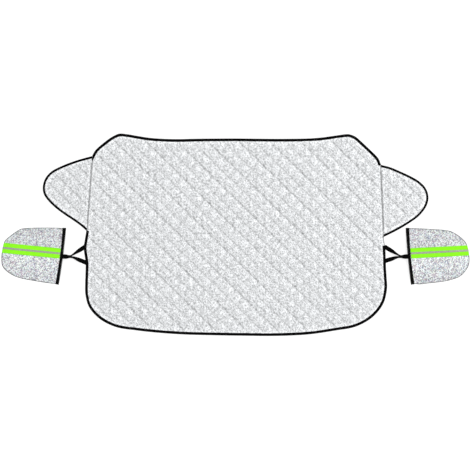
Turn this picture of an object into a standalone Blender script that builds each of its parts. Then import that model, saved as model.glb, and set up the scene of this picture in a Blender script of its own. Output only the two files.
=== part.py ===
"""Windshield frost cover, laid out flat on its back.

A quilted foil panel with a bound edge, a door flap sewn on at each side, and a
foil pouch for each door mirror, held to the panel by a loop of elastic webbing.
X runs across the car, Y up the windshield and Z out of the cover, in metres.
The origin is on the ground under the middle of the cover.
"""

import math
from collections import namedtuple

import bmesh
import bpy
import numpy as np
from mathutils import Vector
from mathutils.geometry import delaunay_2d_cdt

# Main panel, over its finished edges
PANEL_WIDTH = 1.476
PANEL_HEIGHT = 0.984
TOP_DIP = 0.0255
PEAK_ROUND = 0.034
BOTTOM_ARCH = 0.028

# The top edge from the right peak to the left one: shares of the way, and of the dip
TOP_EDGE = [
    (0.034, 0.24), (0.07, 0.46), (0.14, 0.84), (0.28, 1.00), (0.50, 0.93),
    (0.65, 0.97), (0.77, 1.05), (0.87, 0.79), (0.94, 0.30), (0.975, 0.06),
]
CREST_DROP = 0.0153
SHOULDER_SHARES = (0.35, 0.72)
SHOULDER_BOW = 0.0027

# The bottom edge between the round corners, from left to right: shares of the way, and
# of the arch by which it stands above the bottom line
BOTTOM_EDGE = [
    (0.00, 1.00), (0.12, 0.55), (0.24, 0.27), (0.40, 0.12), (0.54, 0.045),
    (0.67, 0.00), (0.77, 0.07), (0.88, 0.31), (1.00, 0.93),
]
CORNER_ANGLES = [math.radians(angle) for angle in (22, 44, 66)]

# Shoulders and side edges, measured in from the side line and down from the top line
LEFT_PEAK_INSET = 0.172
LEFT_PEAK_DROP = 0.0003
LEFT_KNEE_INSET = 0.058
LEFT_KNEE_DROP = 0.079
LEFT_SEAM_TOP_INSET = 0.040
LEFT_SEAM_TOP_DROP = 0.109
LEFT_SEAM_FOOT_INSET = 0.013
LEFT_SEAM_FOOT_HEIGHT = 0.020
LEFT_STRAP_INSET = 0.000
LEFT_WAIST_INSET = 0.009
LEFT_HIP_INSET = 0.0075
LEFT_CORNER_WIDTH = 0.250
LEFT_CORNER_HEIGHT = 0.180
RIGHT_PEAK_INSET = 0.1865
RIGHT_PEAK_DROP = 0.0028
RIGHT_KNEE_INSET = 0.0415
RIGHT_KNEE_DROP = 0.1215
RIGHT_SEAM_TOP_INSET = 0.029
RIGHT_SEAM_TOP_DROP = 0.152
RIGHT_SEAM_FOOT_INSET = 0.015
RIGHT_SEAM_FOOT_HEIGHT = -0.009
RIGHT_STRAP_INSET = 0.008
RIGHT_WAIST_INSET = 0.0065
RIGHT_HIP_INSET = 0.000
RIGHT_CORNER_WIDTH = 0.255
RIGHT_CORNER_HEIGHT = 0.205

# Door flaps: how far the tip stands out from the seam, and the edge from seam top to
# seam foot as shares of the seam length and of that reach
LEFT_FLAP_REACH = 0.228
LEFT_FLAP_EDGE = [
    (0.968, 0.147), (0.926, 0.328), (0.841, 0.620), (0.756, 0.838), (0.655, 0.962),
    (0.537, 1.000), (0.440, 0.961), (0.328, 0.802), (0.199, 0.507), (0.087, 0.190),
]
RIGHT_FLAP_REACH = 0.2245
RIGHT_FLAP_EDGE = [
    (0.978, 0.137), (0.875, 0.481), (0.765, 0.782), (0.654, 0.946), (0.528, 1.000),
    (0.411, 0.955), (0.279, 0.794), (0.169, 0.542), (0.067, 0.244),
]

# Quilting: diamonds stitched through the foil, the padding and the backing
DIAMOND_WIDTH = 0.0755
DIAMOND_HEIGHT = 0.0738
QUILT_ORIGIN_Y = -0.0074
QUILT_CREST = 0.0062
STITCH_LEVEL = 0.0026
QUILT_FULLNESS = 0.55
QUILT_INSET = 0.42
QUILT_CLEAR = 0.0068
STITCH_SPARE = 0.004
EDGE_FADE = 0.016
EDGE_THICKNESS = 0.0014
EDGE_SLOPE = 0.020
SEAM_STRIP = 0.004

# Binding tape folded over the edge
BINDING_WIDTH = 0.010
TAPE_THICKNESS = 0.0006
GAP = 0.0003
END_GAP = 0.0018
BARE_OVER_STRAP = 0.011

# Seam allowance of each flap, caught under the edge of the main panel
TONGUE_LENGTH = 0.0095
TONGUE_THICKNESS = 0.0012
TONGUE_MARGIN = 0.032
SEAM_END = 0.0117

# Mirror pouches: top edge above the middle of the panel, and outlines from the mouth's
# top end to its bottom end as shares of the length and of the height
POUCH_TOP = 0.034
POUCH_HEIGHT = 0.276
POUCH_LENGTH = 0.295
LEFT_POUCH_EDGE = [
    (0.203, 0.504), (0.660, 0.486), (0.726, 0.455), (0.838, 0.370), (0.936, 0.278),
    (0.973, 0.172), (1.000, -0.050), (0.981, -0.181), (0.908, -0.272), (0.746, -0.370),
    (0.475, -0.434), (0.203, -0.480),
]
RIGHT_POUCH_EDGE = [
    (0.174, 0.490), (0.672, 0.447), (0.755, 0.408), (0.871, 0.322), (0.949, 0.225),
    (0.986, 0.090), (1.000, -0.075), (0.978, -0.188), (0.858, -0.348), (0.650, -0.432),
    (0.350, -0.477), (0.071, -0.503),
]
LEFT_MOUTH_LEAN = 0.036
RIGHT_MOUTH_LEAN = 0.026
MOUTH_BOW = 0.0056
POUCH_RISE = 0.0175
POUCH_ROUND = 0.075
POUCH_CLOTH = 0.0008
POUCH_SEAM = 0.006
POUCH_PITCH = 0.030
ELASTIC_WIDTH = 0.0126
ELASTIC_FLARE = 0.0021
ELASTIC_THICKNESS = 0.0010
ELASTIC_LIFT = 0.0003
LIP_INSET = 0.0010
MOUTH_RAMP = 0.030

# High-visibility band across each pouch, with a reflective strip along its middle
HI_VIS_WIDTH = 0.050
HI_VIS_THICKNESS = 0.0005
STRIP_WIDTH = 0.010
STRIP_THICKNESS = 0.0003
BAND_MARGIN = 0.0015
BAND_STEP = 0.030
LEFT_BAND_HEIGHT = 0.0125
LEFT_BAND_SLOPE = 0.098
RIGHT_BAND_HEIGHT = 0.0135
RIGHT_BAND_SLOPE = 0.050

# Elastic webbing: one loop a side, sewn to the pouch mouth and to the panel at both ends
STRAP_REACH = 0.108
STRAP_WIDTH = 0.021
STRAP_THICKNESS = 0.0010
STRAP_LIFT = 0.0001
STRAP_TWIST = math.radians(72)
STRAP_TUCK = 0.013
CROSSING_REACH = 0.065
CROSSING_SPREAD = 0.0048
STEM_DROP = 0.0015
LEG_SHARES = (0.10, 0.45, 0.75)
STEM_SHARES = (0.6, 0.15)
LEG_FLAT_REACH = 0.0105
STEM_FLAT_REACH = 0.010
LEG_TWIST_EASE = 1.1
STEM_TWIST_EASE = 0.9
LEFT_UPPER_LEG = 0.043
LEFT_LOWER_LEG = 0.028
RIGHT_UPPER_LEG = 0.040
RIGHT_LOWER_LEG = 0.021

# Facets: an edge gets a point at each turn of this angle, and at least this often
EDGE_TURN = math.radians(10)
EDGE_STEP = 0.050
POUCH_STEP = 0.040
STRAIGHT_TURN = 0.35
SMOOTH_ANGLE = math.radians(32)
MOUTH_STEPS = 7

MM = 1000.0
SIDE_LINE = PANEL_WIDTH / 2
TOP_LINE = PANEL_HEIGHT / 2
BOTTOM_LINE = -PANEL_HEIGHT / 2
MIRROR_LINE = POUCH_TOP - POUCH_HEIGHT / 2
TAPE_LIFT = STRAP_LIFT + STRAP_THICKNESS + GAP
CUT_EDGE = TAPE_THICKNESS + GAP
EDGE_RAISE = TAPE_LIFT + CUT_EDGE
EDGE_TOP = EDGE_RAISE + EDGE_THICKNESS
BOUND_STRIP = BINDING_WIDTH + 2 * GAP

Side = namedtuple(
    "Side",
    "name sign peak_inset peak_drop knee_inset knee_drop seam_top_inset seam_top_drop "
    "seam_foot_inset seam_foot_height strap_inset waist_inset hip_inset "
    "corner_width corner_height flap_reach flap_edge pouch_edge mouth_lean "
    "band_height band_slope upper_leg lower_leg",
)
LEFT = Side(
    "left", -1, LEFT_PEAK_INSET, LEFT_PEAK_DROP, LEFT_KNEE_INSET, LEFT_KNEE_DROP, LEFT_SEAM_TOP_INSET,
    LEFT_SEAM_TOP_DROP, LEFT_SEAM_FOOT_INSET, LEFT_SEAM_FOOT_HEIGHT,
    LEFT_STRAP_INSET, LEFT_WAIST_INSET, LEFT_HIP_INSET, LEFT_CORNER_WIDTH, LEFT_CORNER_HEIGHT,
    LEFT_FLAP_REACH, LEFT_FLAP_EDGE, LEFT_POUCH_EDGE, LEFT_MOUTH_LEAN,
    LEFT_BAND_HEIGHT, LEFT_BAND_SLOPE, LEFT_UPPER_LEG, LEFT_LOWER_LEG,
)
RIGHT = Side(
    "right", 1, RIGHT_PEAK_INSET, RIGHT_PEAK_DROP, RIGHT_KNEE_INSET, RIGHT_KNEE_DROP, RIGHT_SEAM_TOP_INSET,
    RIGHT_SEAM_TOP_DROP, RIGHT_SEAM_FOOT_INSET, RIGHT_SEAM_FOOT_HEIGHT,
    RIGHT_STRAP_INSET, RIGHT_WAIST_INSET, RIGHT_HIP_INSET, RIGHT_CORNER_WIDTH, RIGHT_CORNER_HEIGHT,
    RIGHT_FLAP_REACH, RIGHT_FLAP_EDGE, RIGHT_POUCH_EDGE, RIGHT_MOUTH_LEAN,
    RIGHT_BAND_HEIGHT, RIGHT_BAND_SLOPE, RIGHT_UPPER_LEG, RIGHT_LOWER_LEG,
)


# Materials

def material(name, colour, roughness, metallic):
    made = bpy.data.materials.new(name)
    made.use_nodes = True
    shader = made.node_tree.nodes["Principled BSDF"]
    shader.inputs["Base Color"].default_value = (*colour, 1.0)
    shader.inputs["Roughness"].default_value = roughness
    shader.inputs["Metallic"].default_value = metallic
    made.diffuse_color = (*colour, 1.0)
    return made


# Curves in the plane

def smooth_curve(anchors, per_span=24):
    """A centripetal Catmull-Rom curve through the anchors."""
    points = [np.array(anchor, float) for anchor in anchors]
    points = [2 * points[0] - points[1]] + points + [2 * points[-1] - points[-2]]
    curve = []
    for before, start, end, after in zip(points, points[1:], points[2:], points[3:]):
        lead = math.sqrt(np.linalg.norm(start - before))
        span = math.sqrt(np.linalg.norm(end - start))
        trail = math.sqrt(np.linalg.norm(after - end))
        leave = span * (
            (start - before) / lead - (end - before) / (lead + span) + (end - start) / span
        )
        arrive = span * (
            (end - start) / span - (after - start) / (span + trail) + (after - end) / trail
        )
        for step in range(per_span):
            t = step / per_span
            curve.append(
                (2 * t**3 - 3 * t**2 + 1) * start + (t**3 - 2 * t**2 + t) * leave
                + (3 * t**2 - 2 * t**3) * end + (t**3 - t**2) * arrive
            )
    curve.append(points[-2])
    return np.array(curve)


def spaced(curve, turn=EDGE_TURN, step=EDGE_STEP):
    """The points of a dense curve that its bends and its length need."""
    kept = [curve[0]]
    heading = curve[1] - curve[0]
    for here, ahead in zip(curve[1:-1], curve[2:]):
        travelled = np.linalg.norm(here - kept[-1])
        run = ahead - here
        bend = abs(math.atan2(heading[0] * run[1] - heading[1] * run[0], heading @ run))
        left_over = np.linalg.norm(curve[-1] - here)
        if (bend > turn or travelled > step) and left_over > step / 4:
            kept.append(here)
            heading = run
    kept.append(curve[-1])
    return np.array(kept)


def offset_line(line, amount):
    """An open line moved to the left of the way it runs."""
    runs = np.diff(line, axis=0)
    runs = runs / np.linalg.norm(runs, axis=1)[:, None]
    mean = np.vstack([runs[:1], runs[:-1] + runs[1:], runs[-1:]])
    mean = mean / np.linalg.norm(mean, axis=1)[:, None]
    return line + np.stack([-mean[:, 1], mean[:, 0]], axis=1) * amount


def offset_ring(ring, seams, bound, seam):
    """The ring moved inwards: by one amount along its seams, by the other elsewhere."""
    runs = np.roll(ring, -1, axis=0) - ring
    runs = runs / np.linalg.norm(runs, axis=1)[:, None]
    inward = np.stack([-runs[:, 1], runs[:, 0]], axis=1)
    amounts = np.full(len(ring), float(bound))
    amounts[list(seams)] = seam
    moved = []
    for k, point in enumerate(ring):
        back, ahead = inward[k - 1], inward[k]
        turn = back[0] * ahead[1] - back[1] * ahead[0]
        if abs(turn) < STRAIGHT_TURN:
            middle = (back + ahead) / np.linalg.norm(back + ahead)
            moved.append(point + middle * (amounts[k - 1] + amounts[k]) / 2)
            continue
        shift_x = (amounts[k - 1] * ahead[1] - amounts[k] * back[1]) / turn
        shift_y = (amounts[k] * back[0] - amounts[k - 1] * ahead[0]) / turn
        moved.append(point + (shift_x, shift_y))
    return np.array(moved)


def distances(points, line):
    """Distance of each point from the nearest stretch of the line."""
    starts = line[:-1]
    runs = line[1:] - starts
    lengths = np.sum(runs**2, axis=1)
    offsets = points[:, None, :] - starts[None]
    along = np.clip(np.sum(offsets * runs[None], axis=2) / lengths, 0, 1)
    return np.linalg.norm(offsets - along[:, :, None] * runs[None], axis=2).min(axis=1)


def inside(points, ring):
    """True for each point within the closed ring."""
    x, y = points[:, 0], points[:, 1]
    hits = np.zeros(len(points), bool)
    for (ax, ay), (bx, by) in zip(ring, np.roll(ring, -1, axis=0)):
        crosses = (ay > y) != (by > y)
        if ay != by:
            hits ^= crosses & (x < ax + (y - ay) * (bx - ax) / (by - ay))
    return hits


def closed_line(ring):
    """The ring as an open line that ends where it starts."""
    return np.vstack([ring, ring[:1]])


# Outlines, each side worked out as if it were the right one

def mirrored(points, side):
    """Points of the right side, on the given side."""
    return np.array(points, float) * (side.sign, 1)


def seam_ends(side):
    """Top and foot of the seam between the panel and the flap."""
    top = (SIDE_LINE - side.seam_top_inset, TOP_LINE - side.seam_top_drop)
    foot = (SIDE_LINE - side.seam_foot_inset, side.seam_foot_height)
    return np.array(top), np.array(foot)


def peak(side):
    """The highest point of the shoulder."""
    return (SIDE_LINE - side.peak_inset, TOP_LINE - side.peak_drop)


def shoulder(side):
    """Anchors from the seam's top up the sloping shoulder to the peak."""
    knee = np.array([SIDE_LINE - side.knee_inset, TOP_LINE - side.knee_drop])
    crest = np.array([peak(side)[0] + PEAK_ROUND, TOP_LINE - CREST_DROP])
    run = crest - knee
    bow = np.array([run[1], -run[0]]) / np.linalg.norm(run) * SHOULDER_BOW * 4
    slope = [knee + run * share + bow * share * (1 - share) for share in SHOULDER_SHARES]
    return [seam_ends(side)[0], knee, *slope, crest, peak(side)]


def top_outline():
    """The finished edge over the top, from the right seam to the left one."""
    left_peak = -peak(LEFT)[0]
    right_peak = peak(RIGHT)[0]
    anchors = shoulder(RIGHT)
    for share, dip in TOP_EDGE:
        anchors.append((right_peak + share * (left_peak - right_peak), TOP_LINE - dip * TOP_DIP))
    anchors += [point * (-1, 1) for point in map(np.array, reversed(shoulder(LEFT)))]
    return smooth_curve(anchors)


def leg_heights(side):
    """Where the upper and the lower leg of the webbing leave the panel."""
    return MIRROR_LINE + side.upper_leg, MIRROR_LINE - side.lower_leg


def side_outline(side):
    """Anchors down one side, from the seam's foot into the round corner."""
    upper, lower = leg_heights(side)
    corner_top = BOTTOM_LINE + BOTTOM_ARCH + side.corner_height
    foot = seam_ends(side)[1]
    hip = SIDE_LINE - side.hip_inset
    strap_edge = SIDE_LINE - side.strap_inset
    waist = SIDE_LINE - side.waist_inset
    anchors = [
        foot,
        ((foot[0] + strap_edge) / 2, (foot[1] + upper) / 2),
        (strap_edge, upper),
        (waist, lower),
        ((waist + hip) / 2, (lower + corner_top) / 2),
        (hip, corner_top),
    ]
    for turn in CORNER_ANGLES:
        anchors.append((
            hip - side.corner_width * (1 - math.cos(turn)),
            corner_top - side.corner_height * math.sin(turn),
        ))
    return anchors


def bottom_outline():
    """The finished edge from the left seam down, along the bottom and up the right."""
    left_end = LEFT.corner_width - SIDE_LINE
    right_end = SIDE_LINE - RIGHT.corner_width
    anchors = [point * (-1, 1) for point in map(np.array, side_outline(LEFT))]
    for share, rise in BOTTOM_EDGE:
        anchors.append((
            left_end + (right_end - left_end) * share, BOTTOM_LINE + BOTTOM_ARCH * rise,
        ))
    anchors += reversed(side_outline(RIGHT))
    return smooth_curve(anchors)


def flap_outline(side):
    """The flap's finished edge from the top of its seam to the foot."""
    top, foot = seam_ends(side)
    up = top - foot
    out = np.array([up[1], -up[0]]) / np.linalg.norm(up)
    anchors = [top]
    anchors += [foot + up * along + out * reach * side.flap_reach for along, reach in side.flap_edge]
    anchors.append(foot)
    return mirrored(smooth_curve(anchors), side)


# Meshes

def fill(rings, lines=(), points=()):
    """Triangulate the area inside the first ring, with the other rings and lines as edges."""
    flat = [vertex for ring in rings for vertex in ring]
    edges = []
    start = 0
    for ring in rings:
        count = len(ring)
        edges += [(start + k, start + (k + 1) % count) for k in range(count)]
        start += count
    for line in lines:
        flat += list(line)
        edges += [(start + k, start + k + 1) for k in range(len(line) - 1)]
        start += len(line)
    flat += list(points)
    scaled = [Vector((vertex[0] * MM, vertex[1] * MM)) for vertex in flat]
    made = delaunay_2d_cdt(scaled, edges, [], 1, 0.02)
    vertices = np.array([(vertex.x, vertex.y) for vertex in made[0]]) / MM
    rim = [0] * len(rings[0])
    for index, sources in enumerate(made[3]):
        for source in sources:
            if source < len(rings[0]):
                rim[source] = index
    faces = []
    for face in made[2]:
        a, b, c = (vertices[index] for index in face)
        turn = (b[0] - a[0]) * (c[1] - a[1]) - (b[1] - a[1]) * (c[0] - a[0])
        faces.append(tuple(face) if turn > 0 else tuple(reversed(face)))
    return vertices, faces, rim


def add_object(name, vertices, faces, finish):
    """One named solid from its corners and faces, with its faces turned outwards."""
    mesh = bpy.data.meshes.new(name)
    body = bmesh.new()
    corners = [body.verts.new(vertex) for vertex in vertices]
    for face in faces:
        body.faces.new([corners[index] for index in face])
    loose = [vertex for vertex in body.verts if not vertex.link_faces]
    bmesh.ops.delete(body, geom=loose, context="VERTS")
    bmesh.ops.recalc_face_normals(body, faces=body.faces)
    if body.calc_volume(signed=True) < 0:
        bmesh.ops.reverse_faces(body, faces=body.faces)
    body.to_mesh(mesh)
    body.free()
    mesh.materials.append(finish)
    mesh.shade_smooth()
    mesh.set_sharp_from_angle(angle=SMOOTH_ANGLE)
    made = bpy.data.objects.new(name, mesh)
    bpy.context.scene.collection.objects.link(made)
    return made


def slab(name, top, bottom, finish):
    """A closed sheet between two filled areas with the same rim; each is (fill, heights)."""
    (top_flat, top_faces, top_rim), top_heights = top
    (low_flat, low_faces, low_rim), low_heights = bottom
    vertices = [(x, y, z) for (x, y), z in zip(top_flat, top_heights)]
    base = len(vertices)
    vertices += [(x, y, z) for (x, y), z in zip(low_flat, low_heights)]
    faces = list(top_faces)
    faces += [tuple(base + index for index in reversed(face)) for face in low_faces]
    count = len(top_rim)
    for k in range(count):
        after = (k + 1) % count
        faces.append((top_rim[k], base + low_rim[k], base + low_rim[after], top_rim[after]))
    return add_object(name, vertices, faces, finish)


def sheet_from_faces(name, flat, faces, low_heights, high_heights, finish):
    """A closed sheet over some faces of a filled area, walled along their border."""
    count = len(flat)
    vertices = [(x, y, z) for (x, y), z in zip(flat, high_heights)]
    vertices += [(x, y, z) for (x, y), z in zip(flat, low_heights)]
    solid = list(faces)
    solid += [tuple(count + index for index in reversed(face)) for face in faces]
    runs = {(a, b) for face in faces for a, b in zip(face, face[1:] + face[:1])}
    for a, b in sorted(runs):
        if (b, a) not in runs:
            solid.append((b, a, count + a, count + b))
    return add_object(name, vertices, solid, finish)


def swept(name, sections, finish, closed=False):
    """A solid through equal sections, with flat ends unless it closes on itself."""
    size = len(sections[0])
    vertices = [tuple(point) for section in sections for point in section]
    faces = []
    count = len(sections)
    for k in range(count if closed else count - 1):
        here = k * size
        there = (k + 1) % count * size
        for j in range(size):
            after = (j + 1) % size
            faces.append((here + j, here + after, there + after, there + j))
    if not closed:
        faces.append(tuple(reversed(range(size))))
        faces.append(tuple(range((count - 1) * size, count * size)))
    return add_object(name, vertices, faces, finish)


# Quilting

def crossing(column, row):
    """Where line `column` of one family of stitching crosses line `row` of the other."""
    return np.array([
        (column + row - 1) * DIAMOND_WIDTH / 2,
        QUILT_ORIGIN_Y + (column - row) * DIAMOND_HEIGHT / 2,
    ])


def line_numbers(points):
    """How many lines of each family lie between the pattern's origin and the points."""
    across = points[:, 0] / DIAMOND_WIDTH
    up = (points[:, 1] - QUILT_ORIGIN_Y) / DIAMOND_HEIGHT
    return across + up + 0.5, across - up + 0.5


def quilt_height(points):
    """Height of the quilted face: low along the stitching, full in each diamond."""
    rising, falling = line_numbers(points)
    puff = np.abs(np.sin(np.pi * rising) * np.sin(np.pi * falling)) ** QUILT_FULLNESS
    return STITCH_LEVEL + (QUILT_CREST - STITCH_LEVEL) * puff


def cuts(start, end, ring):
    """Where a straight line crosses the ring, as shares of its length."""
    run = end - start
    found = []
    for a, b in zip(ring, np.roll(ring, -1, axis=0)):
        side = b - a
        area = run[0] * side[1] - run[1] * side[0]
        if area == 0:
            continue
        gap = a - start
        along = (gap[0] * side[1] - gap[1] * side[0]) / area
        across = (gap[0] * run[1] - gap[1] * run[0]) / area
        if 0 <= across < 1 and 0 <= along <= 1:
            found.append(along)
    return sorted(found)


def stitch_spans(start, end, divisions, ring):
    """The stretches of a stitching line inside the ring, with the crossings on them."""
    run = end - start
    spare = STITCH_SPARE / np.linalg.norm(run)
    found = cuts(start, end, ring)
    spans = []
    for enter, leave in zip(found[::2], found[1::2]):
        if leave - enter < 3 * spare:
            continue
        stops = [k / divisions for k in range(divisions + 1)]
        stops = [stop for stop in stops if enter + spare < stop < leave - spare]
        spans.append([start + run * stop for stop in [enter] + stops + [leave]])
    return spans


def quilt_net(ring):
    """Stitching lines cut off at the ring, and the points that raise each diamond."""
    rising, falling = line_numbers(ring)
    lowest = int(math.floor(min(rising.min(), falling.min()))) - 1
    highest = int(math.ceil(max(rising.max(), falling.max()))) + 1
    count = highest - lowest
    lines = []
    points = []
    for number in range(lowest, highest + 1):
        lines += stitch_spans(crossing(number, lowest), crossing(number, highest), count, ring)
        lines += stitch_spans(crossing(lowest, number), crossing(highest, number), count, ring)
        for other in range(lowest, highest + 1):
            middle = crossing(number + 0.5, other + 0.5)
            points.append(middle)
            for across, up in ((0, 0), (1, 0), (1, 1), (0, 1)):
                corner = crossing(number + across, other + up)
                points.append(middle + (corner - middle) * (1 - QUILT_INSET))
    points = np.array(points)
    points = points[inside(points, ring)]
    return lines, points[distances(points, closed_line(ring)) > QUILT_CLEAR]


# Quilted pieces

def ramp(distance, strip):
    """1 within the strip along an edge, falling to 0 over the slope inside it."""
    return np.clip(1 - (distance - strip) / EDGE_SLOPE, 0, 1)


def puffed(points, bound_edges, seam):
    """Height of the upper face: flat along the edges, quilted from there inwards."""
    inward = distances(points, seam) - SEAM_STRIP
    for edge in bound_edges:
        inward = np.minimum(inward, distances(points, edge) - BOUND_STRIP)
    share = np.clip(inward / EDGE_FADE, 0, 1)
    share = share * share * (3 - 2 * share)
    return EDGE_TOP + share * (quilt_height(points) - EDGE_TOP)


def main_panel(top, bottom, finish):
    """The quilted sheet between the finished edge over the top and the one below."""
    finished = np.vstack([top, bottom])
    seams = (len(top) - 1, len(finished) - 1)
    seam_line = np.vstack([top[-1:], bottom[:1], bottom[-1:], top[:1]])
    cut = offset_ring(finished, seams, CUT_EDGE, CUT_EDGE)
    strip = offset_ring(finished, seams, BOUND_STRIP, SEAM_STRIP)
    lines, points = quilt_net(strip)
    upper = fill([cut, strip], lines, points)
    left_seam, right_seam = seam_line[:2], seam_line[2:]
    heights = np.minimum(
        puffed(upper[0], (top, bottom), left_seam), puffed(upper[0], (top, bottom), right_seam)
    )
    flat_strip = distances(upper[0], closed_line(finished)) <= SEAM_STRIP
    heights[flat_strip] = EDGE_TOP
    shelf = offset_ring(finished, seams, BOUND_STRIP, BOUND_STRIP)
    slope = offset_ring(finished, seams, BOUND_STRIP + EDGE_SLOPE, BOUND_STRIP + EDGE_SLOPE)
    lower = fill([cut, shelf, slope])
    low_heights = EDGE_RAISE * ramp(distances(lower[0], closed_line(finished)), BOUND_STRIP)
    return slab("main_panel", (upper, heights), (lower, low_heights), finish)


def door_flap(side, outline, finish):
    """A quilted flap, with the seam allowance that the main panel's edge lies on."""
    seam = outline[[-1, 0]]
    foot, top = seam
    length = np.linalg.norm(top - foot)
    up = (top - foot) / length
    out = np.array([up[1], -up[0]]) * side.sign
    ring = outline if side.sign < 0 else outline[::-1]
    seams = (len(ring) - 1,)
    butt = GAP - CUT_EDGE
    cut = list(offset_ring(ring, seams, CUT_EDGE, butt))
    reach = butt - TONGUE_LENGTH

    def place(along, outward):
        return foot + up * along + out * outward

    low, high = TONGUE_MARGIN, length - TONGUE_MARGIN
    tongue = [
        place(SEAM_END, butt), place(low - GAP, butt), place(low, butt),
        place(low, reach), place(high, reach), place(high, butt),
        place(high + GAP, butt), place(length - SEAM_END, butt),
    ]
    cut = np.array(cut + (tongue if side.sign < 0 else tongue[::-1]))
    strip = offset_ring(ring, seams, BOUND_STRIP, SEAM_STRIP)
    lines, points = quilt_net(strip)
    step = [place(low - GAP, butt + GAP), place(high + GAP, butt + GAP)]

    def tongue_share(flat):
        along = (flat - foot) @ up
        outward = (flat - foot) @ out
        return (along > low - GAP / 2) & (along < high + GAP / 2) & (outward < butt + GAP / 2)

    upper = fill([cut, strip], lines + [step], points)
    heights = puffed(upper[0], (outline,), seam)
    heights[(upper[0] - foot) @ out < SEAM_STRIP] = EDGE_TOP
    heights[tongue_share(upper[0])] = EDGE_RAISE - GAP
    slope = offset_ring(ring, seams, BOUND_STRIP + EDGE_SLOPE, SEAM_STRIP + TONGUE_LENGTH)
    lower = fill([cut, strip, slope])
    edge_height = EDGE_RAISE * ramp(distances(lower[0], outline), BOUND_STRIP)
    outward = (lower[0] - foot) @ out
    tongue_height = (EDGE_RAISE - GAP - TONGUE_THICKNESS) * np.clip(
        1 - (outward - SEAM_STRIP) / TONGUE_LENGTH, 0, 1)
    low_heights = np.maximum(edge_height, tongue_height)
    low_heights[tongue_share(lower[0])] = EDGE_RAISE - GAP - TONGUE_THICKNESS
    return slab(f"{side.name}_door_flap", (upper, heights), (lower, low_heights), finish)


def binding(name, ring, seams, shift, start, end, finish):
    """Tape folded over the ring's edge, from one of its points to another."""
    depths = {
        depth: offset_ring(ring, seams, depth, shift)
        for depth in (0.0, TAPE_THICKNESS, BINDING_WIDTH)
    }
    low = TAPE_LIFT
    high = EDGE_TOP + CUT_EDGE
    outline = (
        (BINDING_WIDTH, high), (0.0, high), (0.0, low), (BINDING_WIDTH, low),
        (BINDING_WIDTH, low + TAPE_THICKNESS), (TAPE_THICKNESS, low + TAPE_THICKNESS),
        (TAPE_THICKNESS, high - TAPE_THICKNESS), (BINDING_WIDTH, high - TAPE_THICKNESS),
    )
    for index, beyond, within in ((start, start - 1, start + 1), (end, end, end - 1)):
        if beyond % len(ring) in seams:
            square_end(ring, index, within, depths)
    sections = []
    for index in range(start, end + 1):
        sections.append([(*depths[depth][index], height) for depth, height in outline])
    return swept(name, sections, finish)


def square_end(ring, index, within, depths):
    """Cut a binding square where its edge runs almost straight on into a seam."""
    run = ring[within] - ring[index]
    run = run / np.linalg.norm(run)
    inward = np.array([-run[1], run[0]]) * (1 if within > index else -1)
    seam = ring[index] - ring[(2 * index - within) % len(ring)]
    seam = seam / np.linalg.norm(seam)
    if abs(run[0] * seam[1] - run[1] * seam[0]) < STRAIGHT_TURN:
        for depth, line in depths.items():
            line[index] = ring[index] + run * END_GAP + inward * depth


# Mirror pouches, in a frame of their own: u runs outward from the middle of the mouth
# and v up from the mirror line

def pouch_place(side, points):
    """Points of the pouch's frame, in the cover's."""
    points = np.array(points, float)
    return np.stack([
        side.sign * (SIDE_LINE + STRAP_REACH + points[:, 0]), MIRROR_LINE + points[:, 1],
    ], axis=1)


def mouth_line(side, v):
    """The middle of the mouth elastic: it leans, and the strap bows it."""
    share = v / POUCH_HEIGHT
    return -side.mouth_lean * share + 4 * MOUTH_BOW * share**2


def elastic_half(v):
    """Half the width of the elastic, which the strap draws in at its middle."""
    return ELASTIC_WIDTH / 2 + ELASTIC_FLARE * (2 * v / POUCH_HEIGHT) ** 2


def mouth_stations():
    """Heights along the mouth, closer together towards its ends."""
    half = POUCH_HEIGHT / 2 - ELASTIC_THICKNESS - GAP
    steps = range(-MOUTH_STEPS, MOUTH_STEPS + 1)
    return [half * math.sin(math.pi / 2 * step / MOUTH_STEPS) for step in steps]


def mouth_offset(side, heights, edge, shift=0.0):
    """Points off the inner (-1) or outer (1) edge of the elastic, square to its middle."""
    points = []
    for v in heights:
        slope = -side.mouth_lean / POUCH_HEIGHT + 8 * MOUTH_BOW * v / POUCH_HEIGHT**2
        square = np.array([1.0, -slope]) / math.hypot(1.0, slope)
        off_middle = edge * elastic_half(v) + shift
        points.append(np.array([mouth_line(side, v), v]) + square * off_middle)
    return np.array(points)


def pouch_edge(side):
    """The sewn edge, from the top end of the mouth round the tip to the bottom end."""
    stations = mouth_stations()
    ends = [stations[-1], stations[0]]
    lips = mouth_offset(side, ends, -1, LIP_INSET)
    clear = mouth_offset(side, ends, 1, GAP)
    anchors = [clear[0]]
    anchors += [(along * POUCH_LENGTH, up * POUCH_HEIGHT) for along, up in side.pouch_edge]
    anchors.append(clear[1])
    return np.vstack([lips[:1], spaced(smooth_curve(anchors), step=POUCH_STEP), lips[1:]])


def pouch_base(side, points):
    """The pouch lies on the ground, but for its mouth, which the elastic goes under."""
    inward = points[:, 0] - mouth_line(side, points[:, 1]) - elastic_half(points[:, 1])
    share = np.clip(1 - inward / MOUTH_RAMP, 0, 1)
    return (ELASTIC_LIFT + ELASTIC_THICKNESS + GAP) * share


def pouch_dome(edge, points):
    """How far the front stands off the back: nothing at the seam, full in the middle."""
    share = np.clip((distances(points, edge) - POUCH_SEAM) / POUCH_ROUND, 0, 1)
    return POUCH_RISE * np.sin(np.pi / 2 * share)


def front_height(side, edge, points):
    """Height of the front's outer face."""
    lift = 2 * POUCH_CLOTH + GAP
    return pouch_base(side, points) + lift + pouch_dome(edge, points)


def band_middle(side, u):
    """Height of the band's middle at a distance from the mouth."""
    return side.band_height + side.band_slope * u


def band_start(side, v):
    """Where the band begins, just clear of the elastic."""
    return mouth_line(side, v) + elastic_half(v) + BAND_MARGIN


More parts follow.
